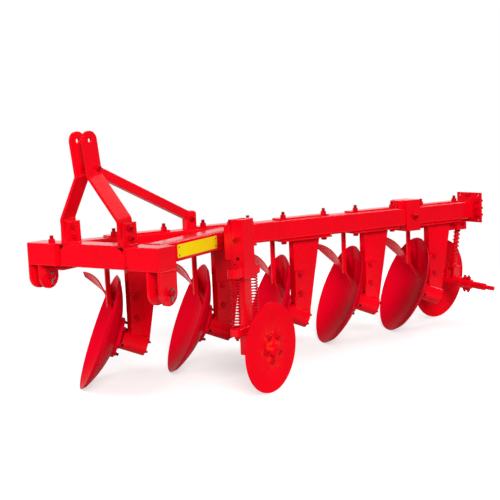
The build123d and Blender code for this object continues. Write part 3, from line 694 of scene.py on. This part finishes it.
class Workshop:
    """Builds the repeated pieces with Geometry Nodes and seats them on their bodies."""

    SEED = 7
    STUD_MARK = "stud_face"
    ROUND_SIDES = 24
    STUD_SIDES = 18
    # Shares of a nut's radius at the foot and top of its chamfer, and of its height.
    CHAMFER_FOOT = 0.86
    CHAMFER_TOP = 0.74
    CHAMFER_HEIGHT = 0.14
    BEAD_SIDES = 7
    PIN_SIDES = 16
    PIN_HEAD = 1.7
    RING_STEPS = 32
    WIRE_SIDES = 8
    # Largest turns about the axis, in radians.
    NUT_TURN = math.pi / 3
    PIN_TURN = 0.5

    def __init__(self, shop: PaintShop) -> None:
        """Build the three trees.

        Args:
            shop: Source of the materials.
        """
        self.shop = shop
        self.bolt_tree = self._bolt_tree()
        self.bead_tree = self._bead_tree()
        self.lynch_tree = self._lynch_tree()

    def _bolt_tree(self) -> GeometryTree:
        """Build the tree that sets a washer, a nut and a bolt end on each point."""
        tree = GeometryTree("hex_bolt_ends", {**BoltKind.BEAM_NUT.value.inputs(), "Seed": self.SEED,
                                              "Paint": Entry.MATERIAL, "Stud Finish": Entry.MATERIAL})
        start = tree.start
        cap = tree.math("MULTIPLY", start["Height"], self.CHAMFER_HEIGHT)
        stud_depth = tree.math("ADD", start["Stud Length"], cap)
        nut = tree.cylinder(start["Sides"], start["Radius"], start["Height"])
        chamfer = tree.add("GeometryNodeMeshCone", {
            "Vertices": self.ROUND_SIDES, "Depth": cap,
            "Radius Bottom": tree.math("MULTIPLY", start["Radius"], self.CHAMFER_FOOT),
            "Radius Top": tree.math("MULTIPLY", start["Radius"], self.CHAMFER_TOP)})["Mesh"]
        stud = tree.cylinder(self.STUD_SIDES, start["Stud Radius"], stud_depth)
        washer = tree.cylinder(self.ROUND_SIDES, start["Washer Radius"], start["Washer Height"])
        nut_top = tree.math("ADD", start["Washer Height"], start["Height"])
        nut_middle = tree.math("ADD", start["Washer Height"], tree.math("MULTIPLY", start["Height"], 0.5))
        stud_middle = tree.math("ADD", nut_top, tree.math("MULTIPLY", stud_depth, 0.5))
        washer_middle = tree.math("MULTIPLY", start["Washer Height"], 0.5)
        marked = tree.add("GeometryNodeStoreNamedAttribute", {
            "Geometry": tree.lift(stud, stud_middle), "Name": self.STUD_MARK, "Value": True},
            data_type="BOOLEAN", domain="FACE")["Geometry"]
        whole = tree.join([tree.lift(nut, nut_middle), tree.lift(chamfer, nut_top),
                           tree.lift(washer, washer_middle), marked])
        painted = tree.paint(self._set_on_points(tree, whole, self.NUT_TURN), "Paint")
        studs = tree.add("GeometryNodeInputNamedAttribute", {"Name": self.STUD_MARK}, data_type="BOOLEAN")
        tree.close(tree.paint(painted, "Stud Finish", Selection=studs["Attribute"]))
        return tree

    def _set_on_points(self, tree: GeometryTree, part: Socket, turn: float) -> Socket:
        """Return a part set on each point along its axis attribute, each at its own turn.

        Args:
            tree: Tree that gets the nodes.
            part: Geometry to repeat.
            turn: Largest turn about the axis, in radians.

        Returns:
            The realized geometry.
        """
        axis = tree.add("GeometryNodeInputNamedAttribute", {"Name": "axis"}, data_type="FLOAT_VECTOR")["Attribute"]
        align = tree.add("FunctionNodeAlignRotationToVector", {"Vector": axis}, axis="Z")["Rotation"]
        chance = tree.add("FunctionNodeRandomValue", {3: turn, "Seed": tree.start["Seed"]}, data_type="FLOAT")[1]
        spin = tree.add("FunctionNodeAxisAngleToRotation", {"Angle": chance})["Rotation"]
        turned = tree.add("FunctionNodeRotateRotation", {"Rotation": align, "Rotate By": spin},
                          rotation_space="LOCAL")["Rotation"]
        spots = tree.add("GeometryNodeInstanceOnPoints", {
            "Points": tree.start["Geometry"], "Instance": part, "Rotation": turned})["Instances"]
        return tree.realize(spots)

    def _bead_tree(self) -> GeometryTree:
        """Build the tree that runs a rippled bead along each path of edges."""
        tree = GeometryTree("weld_beads", {"Bead Radius": 0.0042, "Step": 0.006, "Ripple": 0.002,
                                           "Ripple Scale": 150.0, "Paint": Entry.MATERIAL})
        start = tree.start
        path = tree.add("GeometryNodeMeshToCurve", {"Mesh": start["Geometry"]})["Curve"]
        steps = tree.add("GeometryNodeResampleCurve", {"Curve": path, "Length": start["Step"]}, mode="LENGTH")["Curve"]
        ring = tree.circle(self.BEAD_SIDES, start["Bead Radius"])
        skin = tree.add("GeometryNodeCurveToMesh", {
            "Curve": steps, "Profile Curve": ring, "Fill Caps": True})["Mesh"]
        noise = tree.add("ShaderNodeTexNoise", {"Scale": start["Ripple Scale"]})["Fac"]
        depth = tree.math("MULTIPLY", tree.math("SUBTRACT", noise, 0.5), start["Ripple"])
        normal = tree.add("GeometryNodeInputNormal")["Normal"]
        offset = tree.add("ShaderNodeVectorMath", {"Vector": normal, "Scale": depth}, operation="SCALE")["Vector"]
        rippled = tree.add("GeometryNodeSetPosition", {"Geometry": skin, "Offset": offset})["Geometry"]
        tree.close(tree.paint(tree.realize(tree.smooth(rippled)), "Paint"))
        return tree

    def _lynch_tree(self) -> GeometryTree:
        """Build the tree that sets a lynch pin with its spring ring on each point."""
        tree = GeometryTree("lynch_pins", {
            "Shank Radius": 0.0055, "Shank Length": 0.062, "Ring Radius": 0.019, "Wire Radius": 0.0025,
            "Seed": self.SEED, "Finish": Entry.MATERIAL})
        start = tree.start
        shank = tree.cylinder(self.PIN_SIDES, start["Shank Radius"], start["Shank Length"])
        head = tree.add("GeometryNodeMeshUVSphere", {
            "Segments": self.PIN_SIDES, "Rings": self.PIN_SIDES // 2,
            "Radius": tree.math("MULTIPLY", start["Shank Radius"], self.PIN_HEAD)})["Mesh"]
        ring = tree.add("GeometryNodeCurveToMesh", {
            "Curve": tree.circle(self.RING_STEPS, start["Ring Radius"]),
            "Profile Curve": tree.circle(self.WIRE_SIDES, start["Wire Radius"])})["Mesh"]
        stand = tree.add("GeometryNodeTransform", {
            "Geometry": ring, "Rotation": (math.pi / 2, 0.0, 0.0)})["Geometry"]
        half = tree.math("MULTIPLY", start["Shank Length"], 0.5)
        ring_at = tree.math("SUBTRACT", half, start["Ring Radius"])
        whole = tree.join([shank, tree.lift(head, half), tree.lift(stand, ring_at)])
        tree.close(tree.paint(tree.smooth(self._set_on_points(tree, whole, self.PIN_TURN)), "Finish"))
        return tree

    @staticmethod
    def _seed_points(name: str, rows: Sequence[Bolt]) -> bpy.types.Mesh:
        """Return a mesh of loose points that carry their axis."""
        mesh = bpy.data.meshes.new(f"{name}_points")
        mesh.from_pydata([row.at for row in rows], [], [])
        axis = mesh.attributes.new("axis", "FLOAT_VECTOR", "POINT")
        axis.data.foreach_set("vector", [value for row in rows for value in row.axis])
        return mesh

    @staticmethod
    def seat(mesh: bpy.types.Mesh, body: str, slot: Slot) -> None:
        """Turn a mesh into a piece that rides on a body.

        Args:
            mesh: Finished mesh, in place.
            body: Body that carries it.
            slot: Not used.
        """
        shape = bmesh.new()
        shape.from_mesh(mesh)
        bmesh.ops.recalc_face_normals(shape, faces=shape.faces)
        shape.to_mesh(mesh)
        shape.free()
        piece = bpy.data.objects.new(mesh.name, mesh)
        bpy.context.collection.objects.link(piece)
        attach(piece, body)
        LOG.info("%s rides on %s, %d faces", mesh.name, body, len(mesh.polygons))

    def bolts(self, name: str, kind: BoltKind, rows: Sequence[Bolt], body: str = FRAME_BODY) -> None:
        """Set bolt ends of one kind on a body.

        Args:
            name: Name of the piece.
            kind: Size of the bolt ends.
            rows: Their seats.
            body: Body that carries them.
        """
        size = kind.value
        values = {**size.inputs(), "Paint": self.shop.paint(RED_NUT),
                  "Stud Finish": self.shop.metal(DARK_STEEL_AND_HOLE_SHADE) if size.dark else self.shop.paint(RED_STUD)}
        self.seat(self.bolt_tree.run(name, self._seed_points(name, rows), values), body, Slot.PAINT)

    def beads(self, name: str, rows: Sequence[Bead]) -> None:
        """Run weld beads on the frame.

        Args:
            name: Name of the piece.
            rows: Paths of the beads.
        """
        points: list[Vector] = []
        edges: list[tuple[int, int]] = []
        for row in rows:
            first = len(points)
            points.extend(row.points)
            last = len(points) - 1
            edges.extend((i, i + 1) for i in range(first, last))
            if row.closed:
                edges.append((last, first))
        seed = bpy.data.meshes.new(f"{name}_paths")
        seed.from_pydata(points, edges, [])
        self.seat(self.bead_tree.run(name, seed, {"Paint": self.shop.paint(RED_CAST)}), FRAME_BODY, Slot.PAINT)

    def lynch_pins(self, name: str, rows: Sequence[Bolt]) -> None:
        """Put lynch pins through the frame's pins.

        Args:
            name: Name of the piece.
            rows: Their middles and upward axes.
        """
        values = {"Finish": self.shop.metal(ZINC)}
        self.seat(self.lynch_tree.run(name, self._seed_points(name, rows), values), FRAME_BODY, Slot.STEEL)


def dress(material: bpy.types.Material, *nodes: str) -> None:
    """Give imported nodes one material.

    Args:
        material: Their material.
        *nodes: Names of the nodes.
    """
    for node in nodes:
        slots = frame["nodes"][node].data.materials
        slots.clear()
        slots.append(material)


def pierce(start: Vector, way: Vector, on: Vector, normal: Vector) -> Vector:
    """Return the point where a straight edge meets a plane.

    Args:
        start: Point of the edge.
        way: Direction of the edge.
        on: Point of the plane.
        normal: Normal of the plane.

    Returns:
        The point on the plane.
    """
    return start + way * ((on - start).dot(normal) / way.dot(normal))


def rectangle(middle: Vector, first: Vector, second: Vector) -> tuple[Vector, ...]:
    """Return the corners of a rectangle from its middle and its two half sides."""
    return (middle - first - second, middle + first - second, middle + first + second, middle - first + second)


def bolt_circle(body: str, faces: Sequence[float], radius: float, count: int) -> list[Bolt]:
    """Return bolt seats on faces that are square to a body's axle.

    Args:
        body: Name of the body that turns.
        faces: Heights of the faces along the axle. A bolt faces away from the joint's place.
        radius: Radius of the bolt circle.
        count: Bolts on each face.

    Returns:
        The seats.
    """
    middle, axis = DATUM.hinge(f"{body}_spin")
    side = axis.orthogonal().normalized()
    other = axis.cross(side)
    rows = []
    for k in range(count):
        turn = 2 * math.pi * k / count
        out = (side * math.cos(turn) + other * math.sin(turn)) * radius
        rows.extend(Bolt(middle + axis * face + out, axis * math.copysign(1.0, face)) for face in faces)
    return rows


@dataclass
class BeamGroup:
    """Main beam, its extension, the splice clamp and the end plate.

    Attributes:
        middle: Height of the beam's middle line.
        reach: Reach of the beam's middle line.
        splice_proud: How far the splice stands over the beam's side.
        end_run: Run of the end plate's inner face.
        plate_bolts: Reach and height of the end plate's bolts.
    """

    half: float = 0.060
    top: float = 0.835
    middle: float = top - half
    reach: float = 0.115
    splice_run: float = 1.204
    splice_proud: float = 0.012
    end_run: float = 1.750
    plate_t: float = 0.016
    plate_bolts: tuple[Pair, ...] = ((0.142, 0.880), (0.228, 0.838), (0.228, 0.788), (0.228, 0.742))

    @classmethod
    def section(cls, run: float) -> tuple[Vector, ...]:
        """Return the corners of the beam's section at a run."""
        return rectangle(DATUM.on_beam(run, cls.reach, cls.middle), DATUM.land * cls.half, DATUM.up * cls.half)

    def build(self, works: Workshop) -> None:
        """Add the splice and end plate bolts and the welds of the end plate."""
        side = self.half + self.splice_proud
        works.bolts("splice_bolts", BoltKind.BEAM_NUT, [
            Bolt(DATUM.on_beam(self.splice_run, self.reach + way * side, self.middle), DATUM.land * way)
            for way in SIDES])
        outer = self.end_run + self.plate_t
        for name, kind, run, axis in (("end_plate_heads", BoltKind.PLATE_HEAD, self.end_run, -DATUM.along),
                                      ("end_plate_nuts", BoltKind.PLATE_NUT, outer, DATUM.along)):
            works.bolts(name, kind, [Bolt(DATUM.on_beam(run, reach, z), axis) for reach, z in self.plate_bolts])
        works.beads("end_plate_weld", [Bead(self.section(self.end_run))])

    def dress(self, shop: PaintShop) -> None:
        """Paint the beams."""
        dress(shop.paint(RED), "main_beam", "extension_beam", "beam_splice")


@dataclass
class DiscUnit:
    """One disc with its leg and scraper. Runs are from the disc's foot, depths from its rim.

    Attributes:
        number: Number of the unit from the hitch.
        pitch: Spacing of the units along the beam.
        pad_bolt_reach: Reach of the pad's bolts past the beam's middle line.
        clamp_top: Height of the clamp plate's top.
        leg_run: Run of the leg's axis.
        leg_left: Run of the leg's front edge from its axis.
        leg_right: Run of the leg's rear edge from its axis.
        cover_right: Run of the cover plate's rear edge from the leg's axis.
        cover_run: Run of the cover plate's bolts from the leg's axis.
        hub_back: Depth of the hub's back face.
        barrel_middle: Depth of the barrel's middle.
        cap_back: Depth of the barrel's closed end.
    """

    number: int
    pitch: float = 0.555
    pad_run: float = 0.3496
    pad_bolt_run: float = 0.1515
    pad_bolt_reach: float = 0.028
    pad_under: float = 0.703
    clamp_top: float = 0.845
    leg_run: float = 0.3166
    leg_reach: float = 0.1152
    leg_half: float = 0.025
    leg_left: float = -0.048
    leg_right: float = 0.150
    cover_face: float = 0.1482
    cover_top: float = 0.508
    cover_right: float = 0.025
    cover_run: float = -0.012
    cover_bolts: Pair = (0.372, 0.486)
    hub_back: float = 0.1149
    hub_circle: float = 0.092
    hub_count: int = 6
    barrel_middle: float = 0.196
    barrel_radius: float = 0.058
    cap_back: float = 0.2769
    cap_circle: float = 0.040
    cap_count: int = 4

    def __post_init__(self) -> None:
        """Work out the unit's run and body."""
        self.run = (self.number - 1 - UNIT_COUNT // 2) * self.pitch
        self.body = f"disc_{self.number}"

    def _pad_bolts(self, z: float, axis: Vector) -> list[Bolt]:
        """Return the seats of the pad's bolts at a height."""
        return [Bolt(DATUM.on_beam(self.run + self.pad_run + way * self.pad_bolt_run,
                                   BeamGroup.reach + self.pad_bolt_reach, z), axis) for way in SIDES]

    def build(self, works: Workshop) -> None:
        """Add the unit's bolts, weld beads and grease nipple."""
        leg = f"leg_{self.number}"
        works.bolts(f"{leg}_nuts", BoltKind.BEAM_NUT, self._pad_bolts(self.clamp_top, DATUM.up))
        works.bolts(f"{leg}_heads", BoltKind.BEAM_HEAD, self._pad_bolts(self.pad_under, -DATUM.up))
        works.bolts(f"{leg}_cover_bolts", BoltKind.PLATE_HEAD, [
            Bolt(DATUM.on_beam(self.run + self.leg_run + self.cover_run, self.cover_face, z), DATUM.land)
            for z in self.cover_bolts])
        works.bolts(f"{self.body}_hub_nuts", BoltKind.HUB_NUT,
                    bolt_circle(self.body, (-self.hub_back,), self.hub_circle, self.hub_count), self.body)
        works.bolts(f"{leg}_cap_bolts", BoltKind.CAP_BOLT,
                    bolt_circle(self.body, (-self.cap_back,), self.cap_circle, self.cap_count))
        middle, axis = DATUM.hinge(f"{self.body}_spin")
        works.bolts(f"{leg}_greaser", BoltKind.GREASER, [
            Bolt(middle - axis * self.barrel_middle + DATUM.disc_up * self.barrel_radius, DATUM.disc_up)])
        root = DATUM.on_beam(self.run + self.leg_run + (self.leg_left + self.leg_right) / 2,
                             self.leg_reach, self.pad_under)
        seam = rectangle(root, DATUM.along * (self.leg_right - self.leg_left) / 2, DATUM.land * self.leg_half)
        cover_seam = tuple(DATUM.on_beam(self.run + self.leg_run + run, self.cover_face, self.cover_top)
                           for run in (self.leg_left, self.cover_right))
        works.beads(f"{leg}_weld", [Bead(seam), Bead(cover_seam, closed=False)])

    def dress(self, shop: PaintShop) -> None:
        """Paint the disc, the leg and the scraper."""
        for finish, piece in ((RED_DISC_DARKENED_FOR_SHADE, "disc"), (RED_BLADE, "scraper"), (RED_CAST, "leg")):
            dress(shop.paint(finish), f"{piece}_{self.number}")


@dataclass
class HitchGroup:
    """Hitch beam, hitch block, clevises, link pins and brace.

    Attributes:
        clevises: Middle of each clevis and the height of its pin.
        ear_gap: Half the gap between the ears.
        ear_inset: How far an ear's weld stops short of its ends.
        lynch_inset: Distance of a lynch pin from the link pin's end.
        lynch_drop: How far a lynch pin's middle lies below the link pin.
        neck_ends: Where the hitch beam's neck begins and ends.
        block_nut: Place of the block's bolt in plan.
        brace_start: Start of the brace's middle line in plan.
        brace_end: End of that line.
        panel_span: Start and end of the yellow panel along the brace.
        rivet_inset: Distance of the rivets from the panel's edges.
    """

    face: float = -1.226
    back: float = -1.096
    under: float = 0.715
    clevises: tuple[Pair, ...] = ((-0.517, 0.648), (0.307, 0.607))
    ear_gap: float = 0.028
    ear_t: float = 0.016
    ear_inset: float = 0.004
    pin_half: float = 0.074
    lynch_inset: float = 0.012
    lynch_drop: float = 0.012
    neck_ends: Pair = (0.112, 0.146)
    neck_half: float = 0.045
    block_nut: Pair = (-0.409, -1.190)
    brace_start: Pair = (0.205, -1.106)
    brace_end: Pair = (0.095, -0.175)
    brace_half: float = 0.054
    panel_span: Pair = (0.156, 0.564)
    panel_foot: float = 0.745
    panel_top: float = 0.815
    panel_t: float = 0.0015
    panel_corner: float = 0.008
    corner_steps: int = 6
    rivet_inset: float = 0.014

    def __post_init__(self) -> None:
        """Work out the middle of the block and the brace's directions."""
        self.middle = (self.face + self.back) / 2
        self.brace_at = DATUM.place(*self.brace_start, BeamGroup.top - self.brace_half)
        self.brace_way = (DATUM.place(*self.brace_end, self.brace_at.z - DATUM.foot.z) - self.brace_at).normalized()
        self.brace_out = self.brace_way.cross(DATUM.up)

    def _beads(self) -> list[Bead]:
        """Return the welds of the brace, the main beam, the neck and the ears."""
        back, ahead = DATUM.place(0.0, self.back, 0.0), Vector((0.0, 1.0, 0.0))
        beam_face = DATUM.on_beam(0.0, BeamGroup.reach + BeamGroup.half, 0.0)
        brace = rectangle(self.brace_at, self.brace_out * self.brace_half, DATUM.up * self.brace_half)
        rows = [Bead(tuple(pierce(point, way, on, normal) for point in edges)) for edges, way, on, normal in (
            (brace, self.brace_way, back, ahead), (brace, self.brace_way, beam_face, DATUM.land),
            (BeamGroup.section(0.0), DATUM.along, back, ahead))]
        rows += [Bead(rectangle(DATUM.place(x, self.middle, BeamGroup.middle), ahead * self.neck_half,
                                DATUM.up * self.neck_half)) for x in self.neck_ends]
        rows += [Bead(tuple(DATUM.place(x + way * out, y, self.under)
                            for y in (self.face + self.ear_inset, self.back - self.ear_inset)), closed=False)
                 for x, _ in self.clevises for way in SIDES for out in (self.ear_gap, self.ear_gap + self.ear_t)]
        return rows

    def _panel(self, works: Workshop) -> None:
        """Add the blank yellow panel and its rivets on the brace's land side."""
        start, end = self.panel_span
        half_length, half_height = (end - start) / 2, (self.panel_top - self.panel_foot) / 2
        middle = DATUM.place(0.0, 0.0, (self.panel_top + self.panel_foot) / 2)
        middle.x, middle.y = (self.brace_at + self.brace_way * (start + end) / 2 + self.brace_out * self.brace_half).xy
        corner = self.panel_corner
        outline: list[Vector] = []
        for a, b, first in ((1, 1, 0.0), (-1, 1, 0.5), (-1, -1, 1.0), (1, -1, 1.5)):
            for k in range(self.corner_steps + 1):
                turn = math.pi * (first + k / self.corner_steps / 2)
                along = a * (half_length - corner) + corner * math.cos(turn)
                rise = b * (half_height - corner) + corner * math.sin(turn)
                outline.append(middle + self.brace_way * along + DATUM.up * rise)
        shape = bmesh.new()
        face = shape.faces.new([shape.verts.new(point) for point in outline])
        lifted = bmesh.ops.extrude_face_region(shape, geom=[face])["geom"]
        for vert in (item for item in lifted if isinstance(item, bmesh.types.BMVert)):
            vert.co += self.brace_out * self.panel_t
        mesh = bpy.data.meshes.new("blank_yellow_panel")
        shape.to_mesh(mesh)
        shape.free()
        mesh.materials.append(works.shop.paint(YELLOW))
        works.seat(mesh, FRAME_BODY, Slot.PAINT)
        corners = rectangle(middle, self.brace_way * (half_length - self.rivet_inset),
                            DATUM.up * (half_height - self.rivet_inset))
        works.bolts("panel_rivets", BoltKind.RIVET, [
            Bolt(point + self.brace_out * self.panel_t, self.brace_out) for point in corners])

    def build(self, works: Workshop) -> None:
        """Add the welds, the panel, the lynch pins and the block's bolt."""
        works.beads("hitch_welds", self._beads())
        self._panel(works)
        works.lynch_pins("lynch_pins", [
            Bolt(DATUM.place(x + way * (self.pin_half - self.lynch_inset), self.middle, z - self.lynch_drop), DATUM.up)
            for x, z in self.clevises for way in SIDES])
        works.bolts("hitch_block_bolt", BoltKind.BEAM_NUT,
                    [Bolt(DATUM.place(*self.block_nut, BeamGroup.top), DATUM.up)])

    def dress(self, shop: PaintShop) -> None:
        """Paint the hitch and its pins."""
        dress(shop.paint(RED), "hitch_beam", "hitch_block", "brace", "left_clevis", "right_clevis")
        dress(shop.paint(RED_NUT), "left_link_pin", "right_link_pin")


@dataclass
class MastGroup:
    """Mast bars, their foot plates, the stay and its bracket.

    Attributes:
        foot_y: Middle of the feet.
        bar_outer: Half the width over the bars at the foot.
        foot_bolts: Heights of the foot bolts over the beam.
        foot_lean: How far these bolts lean forward for each unit of height.
        pin_at: Place of the stay's pin, back and up.
        ear_outer: Half the width over the mast's ears.
        bracket_bolt: Height of the stay bracket's bolt over the beam.
    """

    middle_x: float = -0.105
    foot_y: float = -1.153
    bar_outer: float = 0.203
    bar_t: float = 0.015
    foot_t: float = 0.014
    foot_half: float = 0.053
    foot_bolts: Pair = (0.034, 0.086)
    foot_lean: float = 0.13
    pin_at: Pair = (-1.185, 1.225)
    ear_outer: float = 0.049
    bracket_run: float = -0.430
    bracket_half: float = 0.030
    bracket_bolt: float = 0.060

    def build(self, works: Workshop) -> None:
        """Add the foot bolts, the pin's nuts, the bracket's bolts and the welds."""
        across = Vector((1.0, 0.0, 0.0))
        outer = self.bar_outer + self.foot_t
        inner = self.bar_outer - self.bar_t - self.foot_t
        nuts: list[Bolt] = []
        heads: list[Bolt] = []
        beads: list[Bead] = []
        for way in SIDES:
            for rise in self.foot_bolts:
                y, z = self.foot_y - rise * self.foot_lean, BeamGroup.top + rise
                nuts.append(Bolt(DATUM.place(self.middle_x + way * outer, y, z), across * way))
                heads.append(Bolt(DATUM.place(self.middle_x + way * inner, y, z), across * -way))
            for plate in (outer - self.foot_t / 2, inner + self.foot_t / 2):
                root = DATUM.place(self.middle_x + way * plate, self.foot_y, BeamGroup.top)
                beads.append(Bead(rectangle(root, across * self.foot_t / 2, Vector((0.0, self.foot_half, 0.0)))))
            nuts.append(Bolt(DATUM.place(self.middle_x + way * self.ear_outer, *self.pin_at), across * way))
            nuts.append(Bolt(DATUM.on_beam(self.bracket_run, BeamGroup.reach + way * self.bracket_half,
                                           BeamGroup.top + self.bracket_bolt), DATUM.land * way))
        base = DATUM.on_beam(self.bracket_run, BeamGroup.reach, BeamGroup.top)
        beads.append(Bead(rectangle(base, DATUM.along * self.bracket_half, DATUM.land * self.bracket_half)))
        works.bolts("mast_nuts", BoltKind.PLATE_NUT, nuts)
        works.bolts("mast_heads", BoltKind.PLATE_HEAD, heads)
        works.beads("mast_welds", beads)

    def dress(self, shop: PaintShop) -> None:
        """Paint the mast."""
        dress(shop.paint(RED), "mast_left", "mast_right", "mast_foot_left", "mast_foot_right", "mast_stay",
              "stay_bracket")


@dataclass
class FrontWheelGroup:
    """Sleeve, sprung post, springs and front wheel.

    Attributes:
        wheel_y: Middle of the sleeve and the wheel.
        set_bolt: Height of the set bolt in the sleeve's front.
        socket: Height of the flat dark disc below it, painted as the shade inside a hole.
        flange_half: Half the spacing of the flange's bolts.
        wheel_faces: Heights of the wheel's inner flange and outer face over its middle plane.
        yoke_top: Height of the upper yoke's top.
        yoke_under: Height of the lower yoke's underside.
    """

    post_x: float = 0.422
    wheel_y: float = -0.619
    sleeve_half: float = 0.050
    set_bolt: float = 0.813
    socket: float = 0.712
    flange_top: float = 0.890
    flange_x: float = 0.359
    flange_half: float = 0.024
    wheel_faces: Pair = (-0.012, 0.004)
    hub_circle: float = 0.070
    hub_count: int = 5
    yoke_top: float = 0.665
    yoke_under: float = 0.306
    spring_half: float = 0.087
    body: str = "front_wheel"

    def build(self, works: Workshop) -> None:
        """Add the sleeve's set bolts, a flat dark disc painted as the shade in the sleeve's hole, the spring rods'
        nuts and the hub's nuts.
        """
        ahead = Vector((0.0, -1.0, 0.0))
        front = self.wheel_y - self.sleeve_half
        # Painted shade: a flat dark disc where the sleeve's hole is.
        works.bolts("sleeve_hole_shade_disc", BoltKind.SOCKET, [Bolt(DATUM.place(self.post_x, front, self.socket), ahead)])
        rows = [Bolt(DATUM.place(self.post_x, front, self.set_bolt), ahead)]
        rows += [Bolt(DATUM.place(self.flange_x, self.wheel_y + way * self.flange_half, self.flange_top), DATUM.up)
                 for way in SIDES]
        works.bolts("sleeve_bolts", BoltKind.PLATE_NUT, rows)
        works.bolts("spring_rod_nuts", BoltKind.PLATE_NUT, [
            Bolt(DATUM.place(self.post_x, self.wheel_y + way * self.spring_half, z), axis)
            for way in SIDES for z, axis in ((self.yoke_top, DATUM.up), (self.yoke_under, -DATUM.up))])
        works.bolts("front_wheel_nuts", BoltKind.WHEEL_NUT,
                    bolt_circle(self.body, self.wheel_faces, self.hub_circle, self.hub_count), self.body)

    def dress(self, shop: PaintShop) -> None:
        """Paint the sleeve, post, springs and wheel."""
        dress(shop.paint(RED), "front_sleeve", "front_post")
        dress(shop.paint(RED_COIL), "front_springs")
        middle, _ = DATUM.hinge("front_wheel_spin")
        hub = frame["nodes"]["front_wheel"].matrix_world.inverted() @ middle
        dress(shop.scuffed(RED_RUBBED, HUB_RUB, hub), "front_wheel")


@dataclass
class RearWheelGroup:
    """Bracket, sprung stem, spring and rear wheel.

    Attributes:
        collar_bolts: Places of the collar's bolts along the axle.
        wheel_faces: Heights of the wheel's inner flange and outer face over its middle plane.
        bracket_reach: Reach of the bracket's middle.
        bracket_z: Height of the bracket's bolt.
    """

    collar_bolts: Pair = (0.222, 0.253)
    collar_radius: float = 0.033
    wheel_faces: Pair = (0.012, -0.004)
    hub_circle: float = 0.070
    hub_count: int = 5
    bracket_run: float = 1.696
    bracket_reach: float = 0.082
    bracket_half: float = 0.045
    bracket_z: float = 0.680
    body: str = "rear_wheel"

    def build(self, works: Workshop) -> None:
        """Add the collar's and bracket's bolts and the hub's nuts."""
        middle, axis = DATUM.hinge("rear_wheel_spin")
        rise = (DATUM.up - axis * axis.z).normalized()
        rows = [Bolt(middle + axis * shift + out * self.collar_radius, out)
                for out in (rise, -rise) for shift in self.collar_bolts]
        rows.append(Bolt(DATUM.on_beam(self.bracket_run, self.bracket_reach + self.bracket_half, self.bracket_z),
                         DATUM.land))
        works.bolts("rear_bolts", BoltKind.PLATE_NUT, rows)
        works.bolts("rear_wheel_nuts", BoltKind.WHEEL_NUT,
                    bolt_circle(self.body, self.wheel_faces, self.hub_circle, self.hub_count), self.body)

    def dress(self, shop: PaintShop) -> None:
        """Paint the bracket, stem, spring and wheel."""
        dress(shop.paint(RED), "rear_bracket", "rear_stem")
        dress(shop.paint(RED_COIL), "rear_spring")
        dress(shop.paint(RED_WHEEL), "rear_wheel")


def main() -> None:
    """Build the plough's looks."""
    logging.basicConfig(level=logging.INFO)
    shop = PaintShop()
    works = Workshop(shop)
    Studio().build()
    groups = [BeamGroup(), HitchGroup(), MastGroup(), FrontWheelGroup(), RearWheelGroup()]
    groups += [DiscUnit(number) for number in range(1, UNIT_COUNT + 1)]
    for group in groups:
        group.dress(shop)
        group.build(works)
        LOG.info("%s done", type(group).__name__)


if __name__ == "__main__":
    main()
